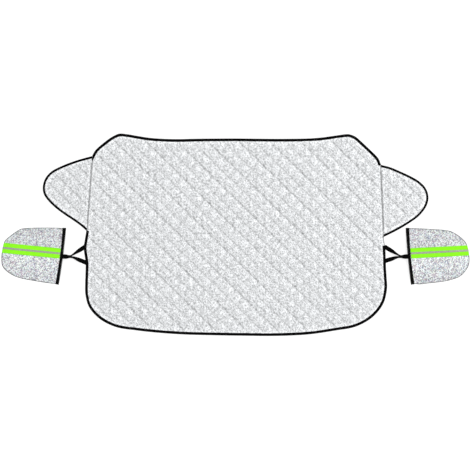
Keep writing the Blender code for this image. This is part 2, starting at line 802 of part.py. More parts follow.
def band_line(side, offset, ring):
    """A line along the band, at a height over its middle, from the elastic to the edge."""
    near = band_start(side, side.band_height + offset)
    far = 2 * POUCH_LENGTH
    start = np.array([near, band_middle(side, near) + offset])
    end = np.array([far, band_middle(side, far) + offset])
    leave = cuts(start, end, ring)[0]
    count = max(2, round(leave * (far - near) / BAND_STEP))
    return [start + (end - start) * leave * k / count for k in range(count + 1)]


def pouch(side, cloth, lining, elastic, green, grey):
    """Front, back, mouth elastic, and the band with its strip, as separate pieces."""
    edge = pouch_edge(side)
    stations = mouth_stations()
    mouth = mouth_offset(side, stations, -1, LIP_INSET)
    ring = np.vstack([mouth[1:-1], edge])
    under_elastic = mouth_offset(side, stations[1:-1], 1, GAP)
    half_band = HI_VIS_WIDTH / 2
    half_strip = STRIP_WIDTH / 2
    offsets = (half_band, half_strip, -half_strip, -half_band)
    lines = [band_line(side, offset, ring) for offset in offsets]
    lines.append([line[0] for line in lines])
    seam_edge = offset_line(edge, -POUCH_SEAM)[2:-2]
    net = []
    pitch = POUCH_PITCH
    guides = [np.array(line) for line in lines] + [under_elastic, closed_line(ring), seam_edge]
    for column in range(int(POUCH_LENGTH / pitch) + 1):
        for row in range(-int(POUCH_HEIGHT / pitch), int(POUCH_HEIGHT / pitch) + 1):
            net.append(((column + row % 2 / 2) * pitch, row * pitch))
    net = np.array(net)
    net = net[inside(net, ring)]
    near = np.min([distances(net, guide) for guide in guides], axis=0)
    net = net[near > 0.4 * pitch]
    flat, faces, _ = fill([ring], lines + [under_elastic, seam_edge], net)
    high = front_height(side, edge, flat)
    world = pouch_place(side, flat)
    sheet_from_faces(f"{side.name}_pouch_front", world, faces, high - POUCH_CLOTH, high, cloth)

    def within(half):
        chosen = []
        for face in faces:
            u, v = flat[list(face)].mean(axis=0)
            if abs(v - band_middle(side, u)) < half and u > band_start(side, v) - GAP:
                chosen.append(face)
        return chosen

    band_low = high + GAP
    band_high = band_low + HI_VIS_THICKNESS
    sheet_from_faces(
        f"{side.name}_hi_vis_band", world, within(half_band), band_low, band_high, green)
    strip_low = band_high + GAP
    sheet_from_faces(
        f"{side.name}_reflective_strip", world, within(half_strip), strip_low,
        strip_low + STRIP_THICKNESS, grey)

    ramp_end = mouth_offset(side, stations[2:-2], 1, MOUTH_RAMP)
    back_flat, back_faces, _ = fill([ring], [under_elastic, ramp_end])
    back_low = pouch_base(side, back_flat)
    back_world = pouch_place(side, back_flat)
    sheet_from_faces(
        f"{side.name}_pouch_back", back_world, back_faces, back_low, back_low + POUCH_CLOTH, lining)
    mouth_elastic(side, edge, stations, elastic)


def mouth_elastic(side, edge, stations, finish):
    """A closed band round the mouth, over the front's lip and under the back's."""
    low = ELASTIC_LIFT

    def lip_height(v):
        sides = np.vstack([mouth_offset(side, [v], -1), mouth_offset(side, [v], 1)])
        return front_height(side, edge, sides).max() + GAP

    end = stations[-1] + GAP
    over = end + ELASTIC_THICKNESS
    wall = ELASTIC_THICKNESS
    inner = [(v, low + wall) for v in stations[1:-1]]
    outer = [(v, low) for v in stations[1:-1]]
    inner += [(end, low + wall), (end, lip_height(stations[-1]))]
    outer += [(over, low + wall / 2), (over, lip_height(stations[-1]) + wall / 2)]
    inner += [(v, lip_height(v)) for v in reversed(stations[1:-1])]
    outer += [(v, lip_height(v) + wall) for v in reversed(stations[1:-1])]
    inner += [(-end, lip_height(stations[0])), (-end, low + wall)]
    outer += [(-over, lip_height(stations[0]) + wall / 2), (-over, low + wall / 2)]
    sections = []
    for inside_point, outside_point in zip(inner, outer):
        section = []
        for (v, z), rim in (
            (inside_point, -1), (inside_point, 1), (outside_point, 1), (outside_point, -1),
        ):
            x, y = pouch_place(side, mouth_offset(side, [v], rim))[0]
            section.append((x, y, z))
        sections.append(section)
    swept(f"{side.name}_mouth_elastic", sections, finish, closed=True)


# Elastic webbing

def leg_path(side, rise, layer):
    """Middle of the webbing from under the panel's edge to its fold on the mouth."""
    crossing_u = CROSSING_REACH - STRAP_REACH
    start = np.array([-STRAP_REACH, rise])
    run = np.array([crossing_u, 0.0]) - start
    under = start - run / np.linalg.norm(run) * STRAP_TUCK
    leg = [start + run * share for share in LEG_SHARES]
    spread = layer * CROSSING_SPREAD / 2
    stem = [
        (crossing_u, spread - STEM_DROP),
        (crossing_u * STEM_SHARES[0], spread * STEM_SHARES[0] - STEM_DROP),
        (-ELASTIC_WIDTH, spread * STEM_SHARES[1] - STEM_DROP), (ELASTIC_WIDTH / 3, -STEM_DROP),
    ]
    return smooth_curve([under, *leg, *stem], per_span=3)


def strap(side, finish):
    """One length of webbing: up one leg, round a fold on the mouth and down the other."""
    edge = pouch_edge(side)
    ground = STRAP_LIFT + STRAP_THICKNESS / 2
    seat = front_height(side, edge, mouth_offset(side, [0.0], 0))[0]
    seat += 2 * GAP + ELASTIC_THICKNESS + STRAP_THICKNESS / 2
    crossing_u = CROSSING_REACH - STRAP_REACH
    layers = []
    for rise, layer in ((side.upper_leg, 1), (-side.lower_leg, -1)):
        path = leg_path(side, rise, layer)
        legs = []
        for u, v in path:
            on_leg = u < crossing_u
            flat_at = LEG_FLAT_REACH - STRAP_REACH if on_leg else -STEM_FLAT_REACH
            share = np.clip((u - flat_at) / (crossing_u - flat_at), 0, 1)
            carried = 0.0 if on_leg else 1 - share
            ease = LEG_TWIST_EASE if on_leg else STEM_TWIST_EASE
            twist = STRAP_TWIST * math.sin(math.pi / 2 * share) ** ease
            on_edge = ground + (STRAP_WIDTH / 2) * math.sin(twist)
            rise_up = carried * carried * (3 - 2 * carried)
            z = on_edge + (seat - on_edge) * rise_up
            stacked = (STRAP_THICKNESS + GAP) / 2 * (1 + layer) * carried
            legs.append((np.array([u, v, z + stacked]), twist))
        layers.append(framed(legs))
    upper, lower = layers
    fold_centre = (upper[-1][0] + lower[-1][0]) / 2
    radius = (upper[-1][0] - lower[-1][0])[2] / 2
    across = upper[-1][1]
    stations = list(upper)
    for angle in (45, 90, 135):
        turn = math.radians(angle)
        thick = np.array([math.sin(turn), 0.0, math.cos(turn)])
        stations.append((fold_centre + thick * radius, across, thick))
    stations += [(middle, wide, -thick) for middle, wide, thick in reversed(lower)]
    sections = []
    for middle, wide, thick in stations:
        section = []
        for w, t in ((-1, -1), (1, -1), (1, 1), (-1, 1)):
            point = middle + wide * w * STRAP_WIDTH / 2 + thick * t * STRAP_THICKNESS / 2
            x, y = pouch_place(side, [point[:2]])[0]
            section.append((x, y, point[2]))
        sections.append(section)
    swept(f"{side.name}_mirror_strap", sections, finish)


def framed(legs):
    """Add the directions of the webbing's width and thickness to each point."""
    middles = np.array([middle for middle, _ in legs])
    tangents = np.gradient(middles, axis=0)
    result = []
    for (middle, twist), tangent in zip(legs, tangents):
        tangent = tangent / np.linalg.norm(tangent)
        level = np.array([-tangent[1], tangent[0], 0.0])
        level /= np.linalg.norm(level)
        upright = np.cross(tangent, level)
        thick = math.cos(twist) * upright + math.sin(twist) * level
        wide = math.cos(twist) * level - math.sin(twist) * upright
        result.append((middle, wide, thick))
    return result


# The whole cover

def build():
    for existing in list(bpy.data.objects):
        bpy.data.objects.remove(existing, do_unlink=True)

    foil = material("quilted_foil", (0.74, 0.75, 0.76), 0.38, 0.55)
    pouch_foil = material("pouch_foil", (0.68, 0.69, 0.72), 0.32, 0.60)
    lining = material("pouch_lining", (0.45, 0.46, 0.48), 0.70, 0.0)
    tape = material("black_tape", (0.010, 0.010, 0.011), 0.75, 0.0)
    webbing = material("black_webbing", (0.012, 0.012, 0.013), 0.80, 0.0)
    green = material("hi_vis_green", (0.30, 0.87, 0.027), 0.55, 0.0)
    grey = material("reflective_grey", (0.35, 0.37, 0.28), 0.35, 0.30)

    top = spaced(top_outline())
    bottom_curve = bottom_outline()
    bare_from = leg_heights(RIGHT)[0] + BARE_OVER_STRAP
    right_half = bottom_curve[:, 0] > 0
    tape_end = int(np.flatnonzero(right_half & (bottom_curve[:, 1] < bare_from)).max())
    taped = spaced(bottom_curve[:tape_end + 1])
    bottom = np.vstack([taped, spaced(bottom_curve[tape_end:])[1:]])
    finished = np.vstack([top, bottom])
    seams = (len(top) - 1, len(finished) - 1)

    main_panel(top, bottom, foil)
    binding("top_binding", finished, seams, CUT_EDGE, 0, len(top) - 1, tape)
    first = len(top)
    binding("bottom_binding", finished, seams, CUT_EDGE, first, first + len(taped) - 1, tape)
    for side in (LEFT, RIGHT):
        outline = spaced(flap_outline(side))
        door_flap(side, outline, foil)
        ring = outline if side.sign < 0 else outline[::-1]
        binding(
            f"{side.name}_flap_binding", ring, (len(ring) - 1,), GAP - CUT_EDGE,
            0, len(ring) - 1, tape)
        pouch(side, pouch_foil, lining, webbing, green, grey)
        strap(side, webbing)


build()
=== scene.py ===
# %% [markdown]
# # A windshield frost cover, laid out flat
# The real cover is a wide sheet of quilted foil with a bound edge, a quilted flap for each
# front door, and a foil pouch for each door mirror on a loop of elastic. This lesson dresses
# the fixed frame of the cover: the frame says where every piece lies, and the cells below
# make each piece again with its cloth, its puckers and its stitching.

# %% Load the frame
import math

import bmesh
import bpy
import numpy as np
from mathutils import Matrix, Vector, kdtree, noise
from mathutils.geometry import delaunay_2d_cdt


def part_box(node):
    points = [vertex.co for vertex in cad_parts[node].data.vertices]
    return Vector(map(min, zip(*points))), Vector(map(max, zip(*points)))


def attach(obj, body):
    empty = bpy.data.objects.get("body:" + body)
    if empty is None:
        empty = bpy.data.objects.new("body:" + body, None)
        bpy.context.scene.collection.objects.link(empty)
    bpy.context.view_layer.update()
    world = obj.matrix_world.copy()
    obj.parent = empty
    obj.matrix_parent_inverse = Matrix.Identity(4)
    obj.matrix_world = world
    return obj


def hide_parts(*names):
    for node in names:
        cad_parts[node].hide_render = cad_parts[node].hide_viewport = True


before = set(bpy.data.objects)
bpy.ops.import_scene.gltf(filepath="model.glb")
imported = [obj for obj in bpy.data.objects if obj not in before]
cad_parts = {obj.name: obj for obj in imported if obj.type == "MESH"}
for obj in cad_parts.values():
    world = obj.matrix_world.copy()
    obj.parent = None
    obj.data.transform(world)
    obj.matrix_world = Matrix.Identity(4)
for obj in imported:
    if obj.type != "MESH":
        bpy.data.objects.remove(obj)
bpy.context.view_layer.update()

# %% [markdown]
# ## Camera
# The photograph is taken from straight above, so that the cover fills the picture from the
# tip of one pouch to the tip of the other. A long lens over six metres up keeps it as flat
# as it is there. The middle of the picture is a little to the left of the cover's own middle.

# %% Set up the camera
PICTURE_WIDTH = 2.290
PICTURE_MIDDLE = (-0.0019, -0.0010)
LENS, SENSOR = 100.0, 36.0
COVER_LEVEL = 0.005

camera_height = COVER_LEVEL + PICTURE_WIDTH * LENS / SENSOR
bpy.ops.object.camera_add(location=(*PICTURE_MIDDLE, camera_height), rotation=(0, 0, 0))
camera = bpy.context.object
camera.data.lens = LENS
camera.data.sensor_width = SENSOR
bpy.context.scene.camera = camera
bpy.context.scene.view_settings.view_transform = "Standard"
print("camera:", round(camera_height, 2), "m above the floor")

# %% [markdown]
# ## Helpers for node materials
# A procedural material is a small net of nodes, and these helpers keep each net short. One
# adds a node and fills its inputs with values or links. One starts a material with the
# numbers that are the same all over it, and one links what changes over its surface.

# %% Add nodes and start materials
def add(tree, kind, inputs=(), output=0, **settings):
    """A new node with its inputs filled; returns one of its outputs."""
    made = tree.nodes.new("ShaderNode" + kind)
    for key, value in settings.items():
        setattr(made, key, value)
    for socket, value in dict(inputs).items():
        if isinstance(value, bpy.types.NodeSocket):
            tree.links.new(value, made.inputs[socket])
        else:
            made.inputs[socket].default_value = value
    return made.outputs[output]


def maths(tree, operation, first, second=0.0, third=0.0):
    return add(tree, "Math", {0: first, 1: second, 2: third}, operation=operation)


def blend(tree, share, low, high):
    """A colour between two colours."""
    return add(
        tree, "Mix", {0: share, 6: low, 7: high}, output=2, data_type="RGBA")


def between(tree, value, start, end, low=0.0, high=1.0):
    """A value eased from low to high while another goes from start to end."""
    return add(
        tree, "MapRange", {0: value, 1: start, 2: end, 3: low, 4: high},
        interpolation_type="SMOOTHSTEP")


def speckle(tree, place, scale, detail):
    return add(tree, "TexNoise", {"Vector": place, "Scale": scale, "Detail": detail})


def ridges(tree, place, scale, detail):
    """Noise with sharp crests, like creased film."""
    return add(
        tree, "TexNoise", {"Vector": place, "Scale": scale, "Detail": detail, "Roughness": 0.7},
        noise_type="RIDGED_MULTIFRACTAL")


def parts(tree, vector):
    """The three numbers of a vector."""
    made = tree.nodes.new("ShaderNodeSeparateXYZ")
    tree.links.new(vector, made.inputs[0])
    return made.outputs


def ribs(tree, value, pitch):
    """A wave that repeats at each pitch."""
    return maths(tree, "SINE", maths(tree, "MULTIPLY", value, 2 * math.pi / pitch))


def thread_line(tree, value, place):
    """1 along a thin line where a value passes a place."""
    off = maths(tree, "ABSOLUTE", maths(tree, "SUBTRACT", value, place))
    return between(tree, off, 0.0003, 0.0007, 1.0, 0.0)


def stitches(tree, along, length, start, end, gap):
    """1 on each stitch of a row, and the gap's value between two of them."""
    share = maths(tree, "FRACT", maths(tree, "MULTIPLY", along, 1 / length))
    return between(tree, share, start, end, 1.0, gap)


def bumps(tree, height, distance, strength=1.0, under=None):
    inputs = {"Height": height, "Distance": distance, "Strength": strength}
    if under is not None:
        inputs["Normal"] = under
    return add(tree, "Bump", inputs)


def finish_of(name, metallic=0.0, **sockets):
    """A material with its shader's own numbers set; returns it and its tree."""
    made = bpy.data.materials.new(name)
    made.use_nodes = True
    shader = made.node_tree.nodes["Principled BSDF"]
    shader.inputs["Metallic"].default_value = metallic
    for socket, value in sockets.items():
        shader.inputs[socket.replace("_", " ")].default_value = value
    return made, made.node_tree


def surface(made, colour, normal, roughness=None):
    """Link what changes over the surface to the shader; returns the material."""
    links = {"Base Color": colour, "Normal": normal, "Roughness": roughness}
    shader = made.node_tree.nodes["Principled BSDF"]
    for socket, value in links.items():
        if value is not None:
            made.node_tree.links.new(value, shader.inputs[socket])
    return made


def grey(level, tint=0.0):
    """A grey, a little bluer for a tint above nothing."""
    return (level * (1 - tint), level, level * (1 + tint), 1.0)

print("helpers ready")

# %% [markdown]
# ## Foil of the quilting
# The cover's face is a thin silver film on a padded backing. It is satin rather than mirror
# bright, it is creased all over, and the stitching pulls a fine dashed line through it.
# Random cells and slanted flecks paint the glints of the creased film into its colour, with
# a little random tone. Ridged noise gives the creases and a painted highlight on their crests.
# The stitch lines come from the same two numbers that place the diamonds, so they run exactly
# along the valleys. Their dark colour is partly the thread and partly painted shade in the
# stitch valleys, and one family of lines is painted darker than the other. The relief's
# painted shading comes from the mesh.

# %% Quilted foil
DIAMOND_WIDTH = 0.0755
DIAMOND_HEIGHT = 0.0738
QUILT_ORIGIN_Y = -0.0074
LINE_PITCH = DIAMOND_WIDTH * DIAMOND_HEIGHT / math.hypot(DIAMOND_WIDTH, DIAMOND_HEIGHT)
STITCH_LENGTH = 0.0042
THREAD_WIDTH = 0.0016


def line_count(tree, place, sign):
    """How many stitching lines of one family lie between the origin and a point."""
    slope = (1 / DIAMOND_WIDTH, sign / DIAMOND_HEIGHT, 0.0)
    along = add(tree, "VectorMath", {0: place, 1: slope}, output=1, operation="DOT_PRODUCT")
    return maths(tree, "ADD", along, 0.5 - sign * QUILT_ORIGIN_Y / DIAMOND_HEIGHT)


def thread_on(tree, across, along):
    """1 on the thread of one family of lines, broken up into stitches."""
    off_line = maths(tree, "PINGPONG", across, 0.5)
    off_line = maths(tree, "MULTIPLY", off_line, LINE_PITCH)
    line = between(tree, off_line, THREAD_WIDTH * 0.3, THREAD_WIDTH, 1.0, 0.0)
    held = stitches(tree, along, STITCH_LENGTH / LINE_PITCH, 0.72, 0.80, 0.25)
    return maths(tree, "MULTIPLY", line, held)


def quilted_foil():
    made, tree = finish_of("quilted_foil", metallic=0.38)
    place = add(tree, "TexCoord", output="Object")
    creases_and_crest_glint = ridges(tree, place, 90.0, 3.0)
    grain = speckle(tree, place, 230.0, 2.0)
    facets = add(tree, "TexVoronoi", {"Vector": place, "Scale": 190.0}, output="Color")
    rising = line_count(tree, place, 1)
    falling = line_count(tree, place, -1)
    slanted = add(tree, "CombineXYZ", {0: maths(tree, "MULTIPLY", rising, 2.2), 1: falling})
    flecks = add(tree, "TexNoise", {"Vector": slanted, "Scale": 5.0, "Detail": 2.0, "Roughness": 0.7})
    thread = thread_on(tree, rising, falling)
    thread = maths(tree, "MULTIPLY_ADD", thread_on(tree, falling, rising), 0.35, thread)
    painted_shading = add(tree, "Attribute", output="Fac", attribute_name="painted_shading")
    # painted glints: random cells and slanted flecks paint the reflections of the creased film into
    # its colour, partly random tone
    glints_and_tone = maths(tree, "MULTIPLY_ADD", facets, 0.28, flecks)
    film = blend(tree, between(tree, glints_and_tone, 0.455, 0.765), grey(0.46, 0.022), grey(0.98, 0.016))
    # painted highlight on the crests of the creases
    film = blend(tree, between(tree, creases_and_crest_glint, 1.1, 1.9, 0.0, 0.30), film, grey(0.94, 0.018))
    # painted shade in folds and along stitching lines and seams, painted highlight on swells, read
    # from the mesh
    film = blend(tree, painted_shading, film, grey(0.16, 0.012))
    # the stitch lines: partly the thread's own colour, partly painted shade in the stitch valleys,
    # one family painted darker than the other
    film = blend(tree, maths(tree, "MULTIPLY", thread, 0.55), film, grey(0.26, 0.010))
    normal = bumps(tree, creases_and_crest_glint, 0.0020, 0.7)
    normal = bumps(tree, grain, 0.0010, 0.6, normal)
    normal = bumps(tree, thread, 0.0005, 0.6, normal)
    return surface(made, film, normal, between(tree, grain, 0.3, 0.7, 0.42, 0.60))


foil = quilted_foil()
print("quilted foil: lines", round(LINE_PITCH * 1000, 1), "mm apart")

# %% [markdown]
# ## Felt of the underside
# The back, which lies on the glass, is a soft off-white felt. It shows the same lines as
# dents. Two sizes of noise make its short fibres.

# %% Felt
def felt():
    made, tree = finish_of("felt", Sheen_Weight=0.25, Sheen_Roughness=0.6)
    place = add(tree, "TexCoord", output="Object")
    fibres = speckle(tree, place, 900.0, 4.0)
    clumps = speckle(tree, place, 120.0, 3.0)
    rising, falling = line_count(tree, place, 1), line_count(tree, place, -1)
    thread = maths(
        tree, "MAXIMUM", thread_on(tree, rising, falling), thread_on(tree, falling, rising))
    normal = bumps(tree, fibres, 0.0006, 0.6)
    normal = bumps(tree, maths(tree, "MULTIPLY", thread, -1.0), 0.0008, 0.8, normal)
    return surface(made, blend(tree, clumps, grey(0.60), grey(0.72)), normal,
                   between(tree, fibres, 0.3, 0.7, 0.82, 0.96))


underside = felt()
print("felt ready")

# %% [markdown]
# ## Reading an outline from the frame
# A sheet in the frame is a closed solid with an upright wall all round. The edges between
# its upper face and that wall are its outline. The frame has few points on each curve, so a
# smooth curve is drawn through them, and real corners, such as the ends of a seam, are kept.

# %% Outlines
UPRIGHT = 0.02
CORNER_TURN = math.radians(35)
LONG_RUN = 0.15
SPACING = 0.0015


def cad_rim(node):
    """The upper rim of a CAD sheet, as points that run anticlockwise seen from above."""
    copy = bmesh.new()
    copy.from_mesh(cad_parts[node].data)
    bmesh.ops.remove_doubles(copy, verts=copy.verts, dist=1e-5)
    copy.normal_update()
    ahead = {}
    for face in copy.faces:
        if face.normal.z <= UPRIGHT:
            continue
        for loop in face.loops:
            if any(abs(other.normal.z) < UPRIGHT for other in loop.edge.link_faces):
                ahead[loop.vert] = loop.link_loop_next.vert
    ring = [next(iter(ahead))]
    while ahead[ring[-1]] != ring[0]:
        ring.append(ahead[ring[-1]])
    points = np.array([vertex.co for vertex in ring])
    copy.free()
    return points


def smooth_curve(points, per_span=16):
    """A centripetal Catmull-Rom curve through the points."""
    if len(points) < 3:
        return np.array(points)
    line = np.vstack([2 * points[0] - points[1], points, 2 * points[-1] - points[-2]])
    curve = []
    for before, start, end, after in zip(line, line[1:], line[2:], line[3:]):
        lead, span, trail = (
            math.sqrt(np.linalg.norm(b - a))
            for a, b in ((before, start), (start, end), (end, after)))
        leave = (start - before) / lead - (end - before) / (lead + span) + (end - start) / span
        arrive = (end - start) / span - (after - start) / (span + trail) + (after - end) / trail
        for t in np.arange(per_span) / per_span:
            curve.append(
                (2 * t**3 - 3 * t**2 + 1) * start + (t**3 - 2 * t**2 + t) * span * leave
                + (3 * t**2 - 2 * t**3) * end + (t**3 - t**2) * span * arrive)
    return np.array(curve + [points[-1]])


def evened(curve, spacing=SPACING):
    """The curve with points about that far apart."""
    lengths = np.r_[0, np.cumsum(np.linalg.norm(np.diff(curve, axis=0), axis=1))]
    count = max(2, round(lengths[-1] / spacing) + 1)
    stops = np.linspace(0, lengths[-1], count)
    return np.stack([np.interp(stops, lengths, curve[:, k]) for k in range(2)], axis=1)


def arcs_of(ring):
    """The ring cut at its corners, each stretch as a smooth, even line."""
    ahead = np.roll(ring, -1, axis=0) - ring
    back = np.roll(ahead, 1, axis=0)
    turn = np.abs(np.arctan2(
        back[:, 0] * ahead[:, 1] - back[:, 1] * ahead[:, 0], np.sum(back * ahead, axis=1)))
    longest = np.maximum(np.linalg.norm(back, axis=1), np.linalg.norm(ahead, axis=1))
    corners = np.flatnonzero((turn > CORNER_TURN) | (longest > LONG_RUN))
    arcs = []
    for start, end in zip(corners, np.roll(corners, -1)):
        span = np.arange(start, end + 1 if end > start else end + 1 + len(ring)) % len(ring)
        arcs.append(evened(smooth_curve(ring[span])))
    return arcs


def joined(arcs):
    """The arcs of a ring as one ring."""
    return np.vstack([arc[:-1] for arc in arcs])


SEWN_LEVEL = 0.003
panel_arcs = arcs_of(cad_rim("main_panel")[:, :2])
flap_arcs = {}
for side in ("left", "right"):
    rim = cad_rim(f"{side}_door_flap")
    flap_arcs[side] = arcs_of(rim[rim[:, 2] > SEWN_LEVEL][:, :2])
print("panel outline:", [round(len(arc) * SPACING, 3) for arc in panel_arcs])
print("flap outlines:", {side: [round(len(arc) * SPACING, 3) for arc in arcs]
                         for side, arcs in flap_arcs.items()})

# %% [markdown]
# ## A fine net of cells inside an outline
# Cloth needs many small, even cells. The cells here run along the two families of stitching,
# so that a row of points lies on every seam of the quilting. Cells that lie wholly inside
# the outline are kept, and the points on their ragged border are drawn out onto it.

# %% Cells and their border
def inside(points, ring):
    """True for each point within the ring."""
    x, y = points.T
    hits = np.zeros(len(points), bool)
    for (ax, ay), (bx, by) in zip(ring, np.roll(ring, -1, axis=0)):
        if ay != by:
            rows = np.flatnonzero((ay > y) != (by > y))
            hits[rows] ^= x[rows] < ax + (y[rows] - ay) * (bx - ax) / (by - ay)
    return hits


def near(lines):
    """A tree that finds the nearest point of some lines."""
    points = np.vstack(lines)
    tree = kdtree.KDTree(len(points))
    for index, (x, y) in enumerate(points):
        tree.insert((x, y, 0.0), index)
    tree.balance()
    return tree


def distances(points, lines):
    tree = near(lines)
    return np.array([tree.find((x, y, 0.0))[2] for x, y in points])


def border_of(faces):
    """Directed edges that only one face has."""
    runs = {(face[k - 1], face[k]) for face in faces for k in range(len(face))}
    return {a: b for a, b in runs if (b, a) not in runs}


def cells(ring, place, low, high, spare):
    """Points and faces of the net, and its border as indices in order."""
    columns, rows = high[0] - low[0] + 1, high[1] - low[1] + 1
    i, j = np.meshgrid(np.arange(low[0], high[0] + 1), np.arange(low[1], high[1] + 1),
                       indexing="ij")
    points = place(i.ravel(), j.ravel())
    kept = inside(points, ring)
    rows_kept = np.flatnonzero(kept)
    gaps = distances(points[rows_kept], [ring])
    kept[rows_kept[gaps < spare]] = False
    kept = kept.reshape(columns, rows)
    whole = kept[:-1, :-1] & kept[1:, :-1] & kept[1:, 1:] & kept[:-1, 1:]
    while True:
        # a point where two kept cells touch only by their corners loses its cells
        padded = np.pad(whole, 1)
        a, b = padded[:-1, :-1], padded[1:, :-1]
        c, d = padded[1:, 1:], padded[:-1, 1:]
        pinched = (a & c & ~b & ~d) | (b & d & ~a & ~c)
        if not pinched.any():
            break
        for x, y in zip(*np.nonzero(pinched)):
            whole[max(x - 1, 0):x + 1, max(y - 1, 0):y + 1] = False
    index = np.arange(columns * rows).reshape(columns, rows)
    quads = np.stack([index[:-1, :-1], index[1:, :-1], index[1:, 1:], index[:-1, 1:]], axis=-1)
    quads = quads[whole]
    used, packed = np.unique(quads, return_inverse=True)
    points = points[used]
    faces = [tuple(face) for face in packed.reshape(-1, 4).tolist()]
    a, b, c = points[list(faces[0][:3])]
    if (b[0] - a[0]) * (c[1] - a[1]) < (b[1] - a[1]) * (c[0] - a[0]):
        faces = [face[::-1] for face in faces]
    ahead = border_of(faces)
    longest = []
    while ahead:
        loop = [next(iter(ahead))]
        while loop[-1] in ahead:
            loop.append(ahead.pop(loop[-1]))
        if len(loop) > len(longest):
            longest = loop
    border = longest[:-1]
    tree = near([ring])
    stops = np.array([tree.find((*points[index], 0.0))[1] for index in border], float)
    for step in range(1, len(stops)):
        stops[step] += len(ring) * round((stops[step - 1] - stops[step]) / len(ring))
    for _ in range(12):
        before = np.roll(stops, 1)
        after = np.roll(stops, -1)
        before[0] -= len(ring)
        after[-1] += len(ring)
        stops = stops / 2 + (before + after) / 4
    closed = np.vstack([ring, ring[:1]])
    stops %= len(ring)
    for axis in range(2):
        points[border, axis] = np.interp(stops, np.arange(len(closed)), closed[:, axis])
    edge = set(border)
    split = []
    for face in faces:
        on = [k for k, index in enumerate(face) if index in edge]
        if len(on) == 3:
            middle = (6 - sum(on) + 2) % 4
            p, q, r, s = (face[(middle + k) % 4] for k in range(4))
            split += [(p, q, r), (p, r, s)]
        else:
            split.append(face)
    return points, split, border


CELLS_A_SIDE = 14


def quilt_place(i, j):
    rising, falling = i / CELLS_A_SIDE, j / CELLS_A_SIDE
    return np.stack([
        DIAMOND_WIDTH * (rising + falling - 1) / 2,
        QUILT_ORIGIN_Y + DIAMOND_HEIGHT * (rising - falling) / 2,
    ], axis=-1)


def quilt_numbers(points):
    """Where points lie in the lattice: whole numbers are stitching lines."""
    across = points[:, 0] / DIAMOND_WIDTH
    up = (points[:, 1] - QUILT_ORIGIN_Y) / DIAMOND_HEIGHT
    return across + up + 0.5, across - up + 0.5


def quilt_cells(ring):
    numbers = np.array(quilt_numbers(ring)) * CELLS_A_SIDE
    low = np.floor(numbers.min(axis=1)).astype(int)
    high = np.ceil(numbers.max(axis=1)).astype(int)
    return cells(ring, quilt_place, low, high, LINE_PITCH / CELLS_A_SIDE * 0.35)

print("cells of", round(LINE_PITCH / CELLS_A_SIDE * 1000, 2), "mm")

# %% [markdown]
# ## The shape of the quilting
# Stitching pulls the foil down to the backing along each line and the padding pushes it up
# in between. The film can't stretch, so it gathers in short tucks across each line, and every
# second falling line has a deep tuck near the middle of each side. The pleat table lists soft
# folds and swells that repeat over the diamonds, set against an average view of the photo's
# diamonds: place across and along, width, length and depth, below nothing for a swell. Each
# one moves the relief a little and is painted into the colour much more strongly, as painted
# shade in a fold and painted highlight on a swell. The relief also gives painted shade along
# one family of stitching lines. The same relief shapes the panel and both flaps.

# %% Relief
STITCH_LEVEL = 0.0026
QUILT_CREST = 0.0044
TUCK_DEPTH = 0.0012
DENT_DEPTH = 0.0009
PUCKER_RISE = 0.0006
CRINKLE_RISE = 0.0008
PLEATS_AND_PAINTED_SHADE = (
    (0.94, 0.50, 0.10, 0.60, 0.11), (1.94, 0.50, 0.08, 0.90, 0.15),
    (1.02, 0.65, 0.08, 0.09, 0.56), (0.96, 0.94, 0.08, 0.11, 0.32), (0.99, 0.42, 0.08, 0.09, 0.22),
    (1.43, 0.25, 0.10, 0.10, 0.30), (0.50, 0.18, 0.20, 0.08, 0.17), (1.34, 0.56, 0.06, 0.09, 0.16),
    (1.47, 0.95, 0.07, 0.09, 0.16), (0.22, 0.64, 0.09, 0.08, 0.11), (1.12, 0.24, 0.10, 0.10, -0.08),
    (0.59, 0.74, 0.18, 0.34, -0.13), (1.62, 0.56, 0.11, 0.32, -0.12), (1.20, 0.00, 0.11, 0.12, -0.14),
    (0.20, 0.96, 0.11, 0.11, -0.11))
DIAMOND_CHOICES = 61
choices = np.random.default_rng(11).random((DIAMOND_CHOICES, DIAMOND_CHOICES, 4))


def hump(offset, width):
    """1 at no offset, falling smoothly away within about the width."""
    return np.exp(-(offset / width) ** 2)


def ripples(x, y, seed):
    """Smooth noise at points of a plane, from -1 to 1."""
    return np.array([noise.noise((a, b, seed)) for a, b in zip(x, y)])


